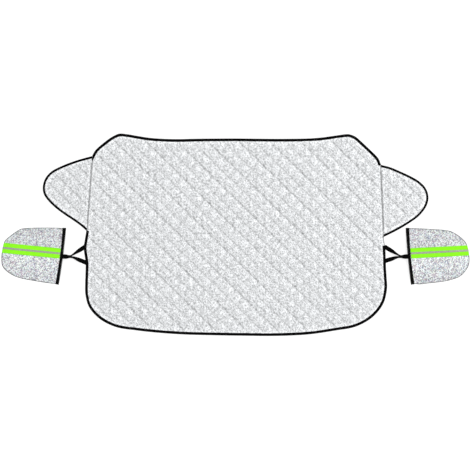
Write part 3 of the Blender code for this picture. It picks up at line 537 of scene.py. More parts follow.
def quilt_relief(points):
    """Height of the quilted face, and its painted shading: painted shade in folds and along stitching
    lines, painted highlight on swells, and a little random tone.
    """
    rising, falling = quilt_numbers(points)
    row, column = np.floor(rising), np.floor(falling)
    u, v = rising - row, falling - column
    picked = choices[row.astype(int) % DIAMOND_CHOICES, column.astype(int) % DIAMOND_CHOICES]
    puff = np.abs(np.sin(np.pi * u)) ** 0.62 * np.abs(np.sin(np.pi * v)) ** 0.55
    height = STITCH_LEVEL + (QUILT_CREST - STITCH_LEVEL) * puff * (0.84 + 0.32 * picked[:, 0])
    off_falling = np.minimum(u, 1 - u) * LINE_PITCH
    off_rising = np.minimum(v, 1 - v) * LINE_PITCH

    nearest = np.round(rising)
    tucked = nearest % 2 == 1
    chosen = choices[nearest.astype(int) % DIAMOND_CHOICES, column.astype(int) % DIAMOND_CHOICES]
    across = (rising - nearest) * LINE_PITCH
    along = (v - 0.60 - 0.10 * chosen[:, 1]) * LINE_PITCH
    tuck = hump(across + 0.0030, 0.0050) * hump(along - 0.0080, 0.0065)
    tuck += hump(across - 0.0026, 0.0050) * hump(along + 0.0078, 0.0065)
    tuck = tucked * np.clip(tuck, 0, 1) * (0.45 + 0.80 * chosen[:, 2])
    tuck *= np.clip(1 + 1.6 * ripples(points[:, 0] * 150, points[:, 1] * 150, 21.5), 0, 2)
    height -= TUCK_DEPTH * tuck

    # painted shade along one family of stitching lines
    painted_shade_and_light = 0.17 + 0.06 * hump(off_rising, 0.0022)
    for middle_across, middle_along, wide, long, depth in PLEATS_AND_PAINTED_SHADE:
        off_across = (rising - middle_across + 1) % 2 - 1
        off_along = (falling - middle_along + 0.5) % 1 - 0.5
        pleat_and_painted_shade = depth * hump(off_across, wide) * hump(off_along, long)
        # each pleat is painted into the colour: painted shade in a fold, painted highlight on a swell
        painted_shade_and_light += pleat_and_painted_shade * (0.75 + 0.5 * chosen[:, 2])
        height -= DENT_DEPTH * 2 * pleat_and_painted_shade

    gather = ripples(rising * 2.2, falling * 8.5, 3.0) * np.exp(-off_falling / 0.011)
    gather += ripples(rising * 8.5, falling * 2.2, 7.0) * np.exp(-off_rising / 0.011)
    height += PUCKER_RISE * gather
    x, y = points.T
    fine = 1 - 2 * np.abs(ripples(x * 52, y * 52, 1.5)) + 0.6 * ripples(x * 105, y * 105, 5.5)
    height += CRINKLE_RISE * fine * (0.35 + 0.65 * puff)
    painted_shade_and_light += 0.04 * ripples(x * 75, y * 75, 12.5)
    return height, np.clip(painted_shade_and_light, 0, 1)

# %% [markdown]
# ## Quilted pieces
# The panel and the flaps are made the same way: a fine upper face with the relief, an
# upright cut edge, and a plain underside of larger faces. Along the edge the layers are
# pressed flat for the binding, and they turn up a little off the ground. On the right, the
# photo shows no binding between the flap and the strap, so the edge there is left bare.

# %% Panel and flaps
EDGE_TOP = 0.0037
EDGE_RAISE = 0.0023
BOUND_STRIP = 0.0141
SEAM_STRIP = 0.0035
EDGE_FADE = 0.016
EDGE_SLOPE = 0.020
SEAM_DIP = 0.0008
UNDER_CELL = 0.024
# Painted shadow: dark lines in the colour along the flap seams and along the bare edge.
SEAM_PAINTED_SHADOW, SEAM_SHADOW_WIDTH = 0.75, 0.0016
BARE_EDGE_PAINTED_SHADE, BARE_SHADOW_WIDTH = 0.95, 0.0034
BARE_FROM = -0.053
SHORT_ARC = 40


def eased(share):
    share = np.clip(share, 0, 1)
    return share * share * (3 - 2 * share)


def filled(ring, points):
    """Triangles over the area inside a ring, through some more points."""
    flat = [Vector((x * 1000, y * 1000)) for x, y in np.vstack([ring, points])]
    edges = [(k, (k + 1) % len(ring)) for k in range(len(ring))]
    made = delaunay_2d_cdt(flat, edges, [], 1, 0.01)
    corners = np.array([(corner.x, corner.y) for corner in made[0]]) / 1000
    rim = [0] * len(ring)
    for index, sources in enumerate(made[3]):
        for source in sources:
            if source < len(ring):
                rim[source] = index
    faces = []
    for face in made[2]:
        a, b, c = corners[list(face)]
        turn = (b[0] - a[0]) * (c[1] - a[1]) - (b[1] - a[1]) * (c[0] - a[0])
        faces.append(tuple(face) if turn < 0 else tuple(face[::-1]))
    return corners, faces, rim


def mesh_piece(name, points, faces, finishes, face_finish=None):
    """A new object at the origin with its place in its mesh."""
    mesh = bpy.data.meshes.new(name)
    mesh.from_pydata([tuple(point) for point in points], [], faces)
    for finish in finishes:
        mesh.materials.append(finish)
    if face_finish is not None:
        mesh.polygons.foreach_set("material_index", face_finish)
    mesh.shade_smooth()
    made = bpy.data.objects.new(name, mesh)
    bpy.context.scene.collection.objects.link(made)
    return made


def is_seam(arc):
    """Only the flap seams are long and straight."""
    return np.linalg.norm(arc[-1] - arc[0]) > 0.99 * (len(arc) - 1) * SPACING > 0.2


def mark_painted_shading(made, values):
    marks = made.data.attributes.new("painted_shading", "FLOAT", "POINT")
    marks.data.foreach_set("value", values.astype(np.float32))


def quilted_piece(name, arcs):
    ring = joined(arcs)
    seams = [arc for arc in arcs if is_seam(arc)]
    bound = [arc for arc in arcs if not is_seam(arc) and len(arc) > SHORT_ARC]
    bare = [arc[(arc[:, 0] > 0) & (arc[:, 1] > BARE_FROM)] for arc in bound
            if name == "main_quilt" and arc[:, 1].min() < BARE_FROM]
    points, faces, border = quilt_cells(ring)
    off_bound, off_seam = distances(points, bound), distances(points, seams)
    inward = np.minimum(off_bound - BOUND_STRIP, off_seam - SEAM_STRIP)
    share = eased(inward / EDGE_FADE)
    height, painted_shading = quilt_relief(points)
    height = EDGE_TOP + share * (height - EDGE_TOP) - SEAM_DIP * hump(off_seam, 0.0022)
    # painted shadow along the flap seams
    painted_shading = painted_shading * share + SEAM_PAINTED_SHADOW * hump(off_seam, SEAM_SHADOW_WIDTH)
    # painted shadow along the bare edge, where there is no binding
    if bare:
        painted_shading += BARE_EDGE_PAINTED_SHADE * hump(distances(points, bare), BARE_SHADOW_WIDTH)
    count = len(points)
    top = np.column_stack([points, height])

    ring_low = points[border]
    low, high = ring_low.min(axis=0), ring_low.max(axis=0)
    net = np.stack(np.meshgrid(
        np.arange(low[0], high[0], UNDER_CELL), np.arange(low[1], high[1], UNDER_CELL)),
        axis=-1).reshape(-1, 2)
    net = net[inside(net, ring_low)]
    net = net[distances(net, [ring_low]) > UNDER_CELL / 3]
    under, under_faces, rim = filled(ring_low, net)
    rise = EDGE_RAISE * np.clip(1 - (distances(under, [ring]) - BOUND_STRIP) / EDGE_SLOPE, 0, 1)
    everything = np.vstack([top, np.column_stack([under, rise])])
    solid = list(faces) + [tuple(count + k for k in face) for face in under_faces]
    for k, here in enumerate(border):
        after = (k + 1) % len(border)
        solid.append((border[after], here, count + rim[k], count + rim[after]))
    face_finish = np.zeros(len(solid), np.int32)
    face_finish[len(faces):len(faces) + len(under_faces)] = 1
    made = mesh_piece(name, everything, solid, [foil, underside], face_finish)
    mark_painted_shading(made, np.r_[painted_shading, np.zeros(len(under))])
    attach(made, "root")
    return made


panel = quilted_piece("main_quilt", panel_arcs)
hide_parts("main_panel")
flaps = {}
for side in ("left", "right"):
    flaps[side] = quilted_piece(f"{side}_flap_quilt", flap_arcs[side])
    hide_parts(f"{side}_door_flap")
for piece in (panel, *flaps.values()):
    print(piece.name, len(piece.data.polygons), "faces")

# %% [markdown]
# ## Swept strips
# Bindings and webbing are long strips of one section. Each is a row of sections along its
# path, joined by faces, with a flat map of its own: one number runs along the strip in
# metres and the other goes round its section, so that ribs and stitches follow its bends.

# %% Sweep a section along a path
def turned_out(made):
    """Faces turned outwards, judged by the volume that they enclose."""
    body = bmesh.new()
    body.from_mesh(made.data)
    if body.calc_volume(signed=True) < 0:
        bmesh.ops.reverse_faces(body, faces=body.faces)
    body.to_mesh(made.data)
    body.free()


def sweep(name, sections, finish, sharp=40):
    """A closed strip through equal sections, with its flat map."""
    sections = np.array(sections)
    count, around, _ = sections.shape
    middles = sections.mean(axis=1)
    along = np.r_[0, np.cumsum(np.linalg.norm(np.diff(middles, axis=0), axis=1))]
    first = np.vstack([sections[0], sections[0][:1]])
    girth = np.r_[0, np.cumsum(np.linalg.norm(np.diff(first, axis=0), axis=1))]
    faces, flat = [], []
    for k in range(count - 1):
        for j in range(around):
            after = (j + 1) % around
            faces.append((k * around + j, k * around + after,
                          (k + 1) * around + after, (k + 1) * around + j))
            flat += [(along[k], girth[j]), (along[k], girth[j + 1]),
                     (along[k + 1], girth[j + 1]), (along[k + 1], girth[j])]
    for k, order in ((0, range(around - 1, -1, -1)), (count - 1, range(around))):
        faces.append(tuple(k * around + j for j in order))
        flat += [(along[k], girth[j]) for j in order]
    made = mesh_piece(name, sections.reshape(-1, 3), faces, [finish])
    layer = made.data.uv_layers.new(name="strip")
    layer.data.foreach_set("uv", np.array(flat, np.float32).ravel())
    made.data.set_sharp_from_angle(angle=math.radians(sharp))
    turned_out(made)
    return made


TAPE_STITCH = 0.0035


def strip_finish(name, level, pitches, rib_depth, threads=(), **sockets):
    """Black ribbed tape or webbing: ribs across or along it, and rows of stitches."""
    made, tree = finish_of(name, **sockets)
    flat = add(tree, "UVMap", uv_map="strip")
    along, round_it, _ = parts(tree, flat)
    across_ribs, long_ribs = ribs(tree, along, pitches[0]), ribs(tree, round_it, pitches[1])
    weave = maths(tree, "MULTIPLY", across_ribs, long_ribs)
    weave = maths(tree, "ADD", weave, maths(tree, "MULTIPLY", long_ribs, 0.6))
    fuzz = speckle(tree, flat, 2500.0, 2.0)
    wear = speckle(tree, flat, 35.0, 3.0)
    colour = blend(tree, between(tree, weave, -1.2, 1.2), grey(level * 0.55), grey(level * 1.5))
    colour = blend(tree, between(tree, wear, 0.45, 0.75, 0.0, 0.5), colour, grey(level * 2.2))
    height = weave
    for row in threads:
        sewn = stitches(tree, along, TAPE_STITCH, 0.70, 0.80, -0.6)
        stitched = maths(tree, "MULTIPLY", thread_line(tree, round_it, row), sewn)
        height = maths(tree, "ADD", height, maths(tree, "MULTIPLY", stitched, 3.0))
        colour = blend(tree, maths(tree, "MULTIPLY", stitched, 0.8), colour, grey(level * 3.5))
    normal = bumps(tree, height, rib_depth, 0.9)
    normal = bumps(tree, fuzz, 0.0001, 0.4, normal)
    return surface(made, colour, normal, between(tree, fuzz, 0.3, 0.7, 0.62, 0.88))


print("strips ready")

# %% [markdown]
# ## Binding
# A black woven tape is folded over the raw edge of the quilting and sewn through near its
# inner side. It has a soft round fold outside and lies in shallow waves where the thread
# pulls it. The panel's tape is a little wider than the flaps'. At the flap seams its ends are
# cut to the seam's slant. A depth in its section above a half is a share of its width.

# %% Binding tape
CUT_EDGE = 0.0009
TAPE_PROUD = 0.09
TAPE_STEP = 0.003
TAPE_DEPTH = {"main": 0.0135, "flap": 0.011}
TAPE_SECTION = [
    (1.0000, 0.0044), (0.8700, 0.0047), (0.8000, 0.0044), (0.7300, 0.0047), (0.0040, 0.0049),
    (0.0016, 0.0047), (0.0004, 0.0040), (0.0000, 0.0030), (0.0004, 0.0020), (0.0016, 0.0014),
    (1.0000, 0.0014), (1.0000, 0.0020), (0.0018, 0.0020), (0.0008, 0.0025), (0.0008, 0.0035),
    (0.0018, 0.0040), (1.0000, 0.0039),
]
TAPE_CUT_GAP = 0.0003
NEARLY_STRAIGHT = 0.35
tape_black = strip_finish(
    "binding_tape", 0.0012, (0.0022, 0.0011), 0.00012, threads=(0.0023,),
    Specular_IOR_Level=0.04)


def run_and_left(line):
    """Unit directions along a line and to its left."""
    run = np.gradient(line, axis=0)
    run /= np.linalg.norm(run, axis=1)[:, None]
    return run, np.stack([-run[:, 1], run[:, 0]], axis=1)


def to_seam(points, run, seam):
    """Slide points along the tape until they lie on its own side of a seam's line."""
    start, own = seam
    off = (points - start) @ own - TAPE_CUT_GAP
    return points - np.outer(off, run) / (run @ own)


def folded_tape(name, arc, seams, seed, width):
    """Tape over one edge; seams are the slants at its two ends, or None for a square end."""
    edge = evened(arc + run_and_left(arc)[1] * (-CUT_EDGE - width * TAPE_PROUD), TAPE_STEP)
    run, inward = run_and_left(edge)
    along = np.arange(len(edge)) * TAPE_STEP
    wave = ripples(along * 22, along * 0, seed) * 0.0006
    lift = ripples(along * 120, along * 0, seed + 2) * 0.00022
    depths = np.array([depth * width if depth > 0.5 else depth for depth, _ in TAPE_SECTION])
    heights = np.array([height for _, height in TAPE_SECTION])
    share = depths / width
    sections = []
    for k in range(len(edge)):
        depth = depths + share * share * wave[k]
        flat = edge[k] + inward[k] * depth[:, None]
        for end, seam in ((0, seams[0]), (len(edge) - 1, seams[1])):
            if seam is None or abs(run[end] @ seam[1]) < NEARLY_STRAIGHT:
                continue
            beyond = (flat - seam[0]) @ seam[1] < TAPE_CUT_GAP
            if k == end:
                beyond[:] = True
            flat[beyond] = to_seam(flat[beyond], run[end], seam)
        high = heights + np.where(heights > 0.0036, lift[k] * share, 0)
        sections.append(np.column_stack([flat, high]))
    made = sweep(name, sections, tape_black)
    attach(made, "root")
    return made, along[-1]


def seam_line(point, ahead, middle):
    """A seam as a point on it and the way to the piece's own side."""
    ahead = (ahead - point) / np.linalg.norm(ahead - point)
    own = np.array([-ahead[1], ahead[0]])
    return point, own if (middle - point) @ own > 0 else -own


seam_arcs = [arc for arc in panel_arcs if is_seam(arc)]
edge_arcs = sorted((arc for arc in panel_arcs if not is_seam(arc)), key=len)
top_arc, bottom_arc = edge_arcs
right_half = (bottom_arc[:, 0] > 0) & (bottom_arc[:, 1] > BARE_FROM)
bottom_arc = bottom_arc[:np.flatnonzero(right_half)[0] + 1]
tapes = {}
for name, arc, seed in (("top_binding", top_arc, 1.5), ("bottom_binding", bottom_arc, 21.5)):
    ends = []
    for point in (arc[0], arc[-1]):
        seam = min(seam_arcs, key=lambda line: np.linalg.norm(line - point, axis=1).min())
        touching = np.linalg.norm(seam - point, axis=1).min() < 0.01
        far = seam[0] if np.linalg.norm(seam[0] - point) > 0.1 else seam[-1]
        ends.append(seam_line(point, far, np.zeros(2)) if touching else None)
    made, length = folded_tape(f"{name}_tape", arc, ends, seed, TAPE_DEPTH["main"])
    tapes[name] = (made, length, "main_quilt", TAPE_DEPTH["main"])
for side in ("left", "right"):
    arc = max(flap_arcs[side], key=lambda line: np.ptp(line[:, 0]))
    middle = arc.mean(axis=0)
    ends = [seam_line(arc[0], arc[-1], middle), seam_line(arc[-1], arc[0], middle)]
    name = f"{side}_flap_binding"
    made, length = folded_tape(f"{name}_tape", arc, ends, 41.5 + len(side), TAPE_DEPTH["flap"])
    tapes[name] = (made, length, f"{side}_flap_quilt", TAPE_DEPTH["flap"])
for node, (made, length, carrier, width) in tapes.items():
    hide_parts(node)
    print(made.name, round(length, 3), "m")

# %% [markdown]
# ## Foil of the pouches
# The pouches are one loose layer of thinner film, so it is crumpled all over in sharp small
# facets, which catch the light with a faint pink, blue or green. Two sizes of cells of random
# colour paint the glints of the crumpled facets into the colour, with a little random tone and
# those tints, and ridged noise makes the facets. The mesh adds painted shade along the sewn
# edge and above the band.

# %% Pouch foil and lining
def pouch_foil():
    made, tree = finish_of("pouch_foil", metallic=0.22)
    place = add(tree, "TexCoord", output="Object")
    facets = ridges(tree, place, 95.0, 4.0)
    patches = add(tree, "TexVoronoi", {"Vector": place, "Scale": 235.0}, output="Color")
    small = add(tree, "TexVoronoi", {"Vector": place, "Scale": 400.0}, output="Color")
    painted_shading = add(tree, "Attribute", output="Fac", attribute_name="painted_shading")
    # painted glints: the cells paint the reflections of the crumpled facets into the colour, partly
    # random tone
    facet_glints_and_tone = maths(tree, "MULTIPLY_ADD", small, 0.35, patches)
    film = blend(tree, between(tree, facet_glints_and_tone, 0.31, 0.96), grey(0.28, 0.04), grey(0.97, 0.03))
    film = blend(tree, 0.15, film, patches)
    # painted shade along the sewn edge and above the band, read from the mesh
    film = blend(tree, painted_shading, film, grey(0.10))
    normal = bumps(tree, facets, 0.0022, 0.8)
    normal = bumps(tree, facet_glints_and_tone, 0.0012, 0.7, normal)
    return surface(made, film, normal, between(tree, facets, 0.2, 1.2, 0.46, 0.62))


def lining_felt():
    made, tree = finish_of("pouch_lining", Sheen_Weight=0.2, Roughness=0.85)
    fibres = speckle(tree, add(tree, "TexCoord", output="Object"), 800.0, 4.0)
    colour = blend(tree, fibres, grey(0.38), grey(0.52))
    return surface(made, colour, bumps(tree, fibres, 0.0006, 0.7))


crumpled, lining = pouch_foil(), lining_felt()
print("pouch foil and lining ready")

# %% [markdown]
# ## Mirror pouches
# Each pouch is two sheets sewn round the edge and open at the mouth, which an elastic band
# gathers. The front stands off the back like a low pillow. It is drawn here as a sheet
# over a net of small cells: a dome, slack folds that run in from the mouth, and crumples.
# The bright band stiffens the film under it, so the crumples fade out there.

# %% Pouch sheets
POUCH_CELL = 0.003
BACK_CELL = 0.008
POUCH_CLOTH = 0.0008
POUCH_RISE = 0.0175
POUCH_ROUND = 0.075
POUCH_SEAM = 0.006
MOUTH_COVER = 0.0116
MOUTH_RAMP = 0.030
MOUTH_LIFT = 0.0016
FRONT_LIFT, FRONT_SLACK = 0.0019, 0.0004
EDGE_SHADOW_WIDTH = 0.0030
# Painted shade: a dark line along the sewn edge, stronger below the band, and the part above the band
# painted darker.
UPPER_EDGE_SHADOW, LOWER_EDGE_SHADOW, UPPER_HALF_PAINTED_SHADE = 0.7, 1.3, 0.15
MOUTH_MIDDLE = (0.846, -0.104)
FOLD_RISE = 0.0022
CRUMPLE_RISE = 0.0016
BAND = {"left": (0.0125, 0.098), "right": (0.0135, 0.050)}
HI_VIS_HALF, STRIP_HALF = 0.025, 0.005
SIGN = {"left": -1, "right": 1}


def pouch_frame(side, points):
    """Distance outward from the middle of the mouth, and height above it."""
    return SIGN[side] * points[:, 0] - MOUTH_MIDDLE[0], points[:, 1] - MOUTH_MIDDLE[1]


def pouch_arcs(side):
    """The whole ring of a pouch, its sewn edge and its mouth."""
    arcs = arcs_of(cad_rim(f"{side}_pouch_front")[:, :2])
    outward = sorted(arcs, key=lambda arc: np.abs(arc[:, 0]).mean())
    return joined(arcs), outward[1:], outward[:1]


def pouch_shape(side, points, sewn, mouth):
    """Height of the back's lower face, height of the front over it, and its painted shade: a dark
    line along the sewn edge and a darker part above the band.
    """
    off_sewn, off_mouth = distances(points, sewn), distances(points, mouth)
    base = MOUTH_LIFT * np.clip(1 - (off_mouth - MOUTH_COVER) / MOUTH_RAMP, 0, 1)
    share = np.sin(np.pi / 2 * np.clip((off_sewn - POUCH_SEAM) / POUCH_ROUND, 0, 1))
    u, v = pouch_frame(side, points)
    middle, slope = BAND[side]
    off_band = np.abs(v - middle - slope * u)
    loose = eased((off_band - HI_VIS_HALF) / 0.012) * 0.75 + 0.25
    loose = loose * eased((off_mouth - MOUTH_COVER) / 0.020) * eased(off_sewn / 0.014)
    seed = 30.0 + SIGN[side]
    fold = ripples(u * 9, v * 26, seed) * FOLD_RISE
    wide = 1 - 2 * np.abs(ripples(u * 34, v * 34, seed + 4))
    small = 1 - 2 * np.abs(ripples(u * 78, v * 78, seed + 9))
    rough = (fold + CRUMPLE_RISE * (0.6 * wide + 0.4 * small)) * loose
    front = base + FRONT_LIFT + POUCH_RISE * share + rough
    lowest = base + FRONT_LIFT - FRONT_SLACK
    above = v > middle + slope * u
    # painted shade: a dark line along the sewn edge, stronger below the band, and the part above the
    # band painted darker
    seam = np.where(above, UPPER_EDGE_SHADOW, LOWER_EDGE_SHADOW) * hump(off_sewn, EDGE_SHADOW_WIDTH)
    return base, np.maximum(front, lowest), np.clip(seam + UPPER_HALF_PAINTED_SHADE * above, 0, 1)


def with_thickness(made, thickness, offset):
    """Turn a sheet face up and give it its thickness with the Solidify modifier."""
    if made.data.polygons[0].normal.z < 0:
        made.data.flip_normals()
    bpy.ops.object.select_all(action="DESELECT")
    bpy.context.view_layer.objects.active = made
    made.select_set(True)
    solid = made.modifiers.new("thickness", "SOLIDIFY")
    solid.thickness = thickness
    solid.offset = offset
    bpy.ops.object.modifier_apply(modifier=solid.name)


def pouch_sheet(name, side, cell, finish):
    """One sheet of a pouch, and its area as seen from above."""
    ring, sewn, mouth = pouch_parts[side]
    low, high = np.floor(ring.min(axis=0) / cell), np.ceil(ring.max(axis=0) / cell)
    points, faces, border = cells(
        ring, lambda i, j: np.stack([i * cell, j * cell], axis=-1),
        low.astype(int), high.astype(int), cell * 0.35)
    base, front, painted_shading = pouch_shape(side, points, sewn, mouth)
    height = front if finish is crumpled else base + POUCH_CLOTH
    made = mesh_piece(name, np.column_stack([points, height]), faces, [finish])
    mark_painted_shading(made, painted_shading)
    with_thickness(made, POUCH_CLOTH, -1)
    area = abs(np.sum(ring[:, 0] * np.roll(ring[:, 1], -1)
                      - ring[:, 1] * np.roll(ring[:, 0], -1))) / 2
    return made, area


pouch_parts = {side: pouch_arcs(side) for side in SIGN}
for side in SIGN:
    back, area = pouch_sheet(f"{side}_back_sheet", side, BACK_CELL, lining)
    front, area = pouch_sheet(f"{side}_front_sheet", side, POUCH_CELL, crumpled)
    for made, node, slot, below in (
            (back, "pouch_back", "pouch_lining", "floor"),
            (front, "pouch_front", "pouch_foil", back.name)):
        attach(made, "root")
        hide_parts(f"{side}_{node}")
    print(side, "pouch:", len(front.data.polygons), "faces,", round(area, 4), "m2 flat")

# %% [markdown]
# ## Bright bands
# A fluorescent green woven tape crosses each pouch, with a narrow grey reflective strip sewn
# along its middle. The tape is a fine plain weave. The strip is covered in tiny glass beads,
# which look like an even, slightly sparkling grey.

# %% Hi-vis tape and reflective strip
GREEN_THREAD = 0.0014
HEM_IN, HEM_STITCH = 0.0022, 0.0032


def woven_green():
    made, tree = finish_of(
        "hi_vis_green", Sheen_Weight=0.05, Roughness=0.70, Specular_IOR_Level=0.2)
    flat = add(tree, "UVMap", uv_map="strip")
    along, across, _ = parts(tree, flat)
    weave = maths(tree, "MULTIPLY", ribs(tree, along, GREEN_THREAD),
                  ribs(tree, across, GREEN_THREAD))
    patches = speckle(tree, flat, 60.0, 3.0)
    off_edge = maths(tree, "SUBTRACT", HI_VIS_HALF, maths(tree, "ABSOLUTE", across))
    hem = maths(tree, "MULTIPLY", thread_line(tree, off_edge, HEM_IN),
                stitches(tree, along, HEM_STITCH, 0.68, 0.78, 0.0))
    colour = blend(tree, between(tree, weave, -1.0, 1.0),
                   (0.22, 0.88, 0.004, 1.0), (0.29, 0.98, 0.007, 1.0))
    colour = blend(tree, between(tree, patches, 0.3, 0.7, 0.0, 0.25), colour,
                   (0.36, 0.97, 0.03, 1.0))
    colour = blend(tree, maths(tree, "MULTIPLY", hem, 0.5), colour, (0.20, 0.62, 0.02, 1.0))
    normal = bumps(tree, weave, 0.00012, 0.7)
    return surface(made, colour, bumps(tree, hem, 0.0005, 0.7, normal))


def beaded_grey():
    made, tree = finish_of("reflective_grey", metallic=0.25)
    flat = add(tree, "UVMap", uv_map="strip")
    beads = add(tree, "TexVoronoi", {"Vector": flat, "Scale": 2600.0}, output="Distance")
    wear = speckle(tree, flat, 160.0, 4.0)
    colour = blend(tree, between(tree, wear, 0.35, 0.7),
                   (0.30, 0.32, 0.25, 1.0), (0.40, 0.42, 0.33, 1.0))
    return surface(made, colour, bumps(tree, beads, 0.0001, 0.6),
                   between(tree, beads, 0.1, 0.7, 0.30, 0.52))


BAND_CELL = 0.0025
BAND_OVER = 0.0004
BAND_FARTHEST, BAND_SEARCH = 0.32, 0.0005
MOUTH_CLEAR, SEWN_CLEAR = 0.0012, 0.0006
hi_vis, beads = woven_green(), beaded_grey()


def band(name, side, half, rise, thickness, finish):
    """A tape over the front of a pouch, from the elastic to the sewn edge."""
    ring, sewn, mouth = pouch_parts[side]
    middle, slope = BAND[side]
    rows = np.linspace(-half, half, max(5, round(2 * half / BAND_CELL) + 1))
    reach = np.arange(0, BAND_FARTHEST, BAND_SEARCH)
    lines = []
    for row in rows:
        line = np.column_stack([
            SIGN[side] * (MOUTH_MIDDLE[0] + reach), MOUTH_MIDDLE[1] + middle + slope * reach + row])
        off_mouth = distances(line, mouth)
        u, _ = pouch_frame(side, line)
        clear = (u > 0) & (off_mouth > MOUTH_COVER + MOUTH_CLEAR) & inside(line, ring)
        clear &= distances(line, sewn) > SEWN_CLEAR
        ends = np.flatnonzero(clear)[[0, -1]]
        lines.append((line[ends[0]], line[ends[1]], reach[ends[1]] - reach[ends[0]]))
    length = max(line[2] for line in lines)
    columns = max(5, round(length / BAND_CELL)) + 1
    points, flat = [], []
    for share in np.linspace(0, 1, columns):
        for row, (start, end, run) in zip(rows, lines):
            points.append(start + (end - start) * share)
            flat.append((share * run, row))
    points, flat = np.array(points), np.array(flat)
    height = pouch_shape(side, points, sewn, mouth)[1] + rise
    count = len(rows)
    faces = [(k * count + j, k * count + j + 1, (k + 1) * count + j + 1, (k + 1) * count + j)
             for k in range(columns - 1) for j in range(count - 1)]
    made = mesh_piece(name, np.column_stack([points, height]), faces, [finish])
    layer = made.data.uv_layers.new(name="strip")
    corners = np.zeros(len(made.data.loops), np.int32)
    made.data.loops.foreach_get("vertex_index", corners)
    layer.data.foreach_set("uv", flat[corners].astype(np.float32).ravel())
    with_thickness(made, thickness, 1)
    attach(made, "root")
    return made, length


HI_VIS_CLOTH, STRIP_CLOTH = 0.0005, 0.0003
for side in SIGN:
    green, length = band(f"{side}_green_tape", side, HI_VIS_HALF, BAND_OVER, HI_VIS_CLOTH, hi_vis)
    over = BAND_OVER + HI_VIS_CLOTH + 0.0002
    strip, _ = band(f"{side}_grey_strip", side, STRIP_HALF, over, STRIP_CLOTH, beads)
    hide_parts(f"{side}_hi_vis_band")
    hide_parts(f"{side}_reflective_strip")
    print(side, "band:", round(length, 3), "m")

# %% [markdown]
# ## Mouth elastics
# A woven black elastic is sewn round each mouth, over the front sheet and under the back
# one, and gathers it a little. The frame already has its path, so a copy of that solid is
# merged, divided into small cells and rippled.

# %% Mouth elastics
ELASTIC_CORD, ELASTIC_PICK = 0.0013, 0.0017


def elastic_black():
    made, tree = finish_of("elastic", Specular_IOR_Level=0.04)
    place = add(tree, "TexCoord", output="Object")
    x, y, _ = parts(tree, place)
    cords, picks = ribs(tree, x, ELASTIC_CORD), ribs(tree, y, ELASTIC_PICK)
    weave = maths(tree, "ADD", maths(tree, "MULTIPLY", cords, picks), cords)
    fuzz = speckle(tree, place, 2200.0, 2.0)
    colour = blend(tree, between(tree, weave, -1.5, 1.5), grey(0.0012), grey(0.0045))
    return surface(made, colour, bumps(tree, weave, 0.00015, 0.9),
                   between(tree, fuzz, 0.3, 0.7, 0.65, 0.90))


ELASTIC_CUTS = 3
ELASTIC_WAVE = 0.0004
ELASTIC_UPPER = 0.003
elastic = elastic_black()
for side in SIGN:
    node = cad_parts[f"{side}_mouth_elastic"]
    body = bmesh.new()
    body.from_mesh(node.data)
    bmesh.ops.remove_doubles(body, verts=body.verts, dist=1e-5)
    bmesh.ops.join_triangles(
        body, faces=body.faces, angle_face_threshold=0.7, angle_shape_threshold=3.1)
    bmesh.ops.subdivide_edges(body, edges=body.edges, cuts=ELASTIC_CUTS, use_grid_fill=True)
    for vertex in body.verts:
        x, y, z = vertex.co
        gather = noise.noise((x * 30, y * 160, 3.5))
        vertex.co.z += ELASTIC_WAVE * gather * (1 if z > ELASTIC_UPPER else 0)
        vertex.co.x += ELASTIC_WAVE * 0.6 * noise.noise((x * 10, y * 90, 8.5))
    mesh = bpy.data.meshes.new(f"{side}_mouth_band")
    body.to_mesh(mesh)
    body.free()
    mesh.materials.clear()
    mesh.materials.append(elastic)
    mesh.shade_smooth()
    mesh.set_sharp_from_angle(angle=math.radians(40))
    made = bpy.data.objects.new(mesh.name, mesh)
    bpy.context.scene.collection.objects.link(made)
    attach(made, "root")
    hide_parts(f"{side}_mouth_elastic")
    print(made.name, len(mesh.polygons), "faces")

# %% [markdown]
# ## Straps
# One length of elastic webbing runs from under the panel's edge to the pouch, round a fold
# on the mouth, and back to the edge a hand's width lower. The two legs turn nearly on
# edge and come together where they meet, and run on to the mouth side by side. The path
# is worked out in the pouch's own frame and then swept with a flat, round-edged section.

# %% Straps
STRAP_REACH = 0.108
STRAP_WIDTH = 0.021
STRAP_THICKNESS = 0.0010
STRAP_LIFT = 0.0001
STRAP_TWIST = math.radians(68)
STRAP_TUCK = 0.013
CROSSING_REACH = 0.065
CROSSING_SPREAD, STEM_DROP = 0.0060, 0.0015
LEG_SHARES = (0.10, 0.45, 0.75)
STEM_SHARES = (0.6, 0.15)
LEG_FLAT_REACH, STEM_FLAT_REACH = 0.0105, 0.010
LEG_TWIST_EASE, STEM_TWIST_EASE = 1.1, 1.5
ELASTIC_WIDTH = 0.0126
LAYER_GAP = 0.0003
LEGS = {"left": (0.043, 0.028), "right": (0.040, 0.021)}
TURN_STEP = 22.5
webbing_black = strip_finish(
    "webbing", 0.0012, (0.0016, 0.0014), 0.00016, threads=(0.003, 0.014),
    Specular_IOR_Level=0.04)
WEB_UNDER = [(-1, -0.4), (-0.95, -1), (-0.5, -1), (0, -1), (0.5, -1), (0.95, -1), (1, -0.4)]
WEB_SECTION = WEB_UNDER + [(-wide, -thick) for wide, thick in WEB_UNDER]


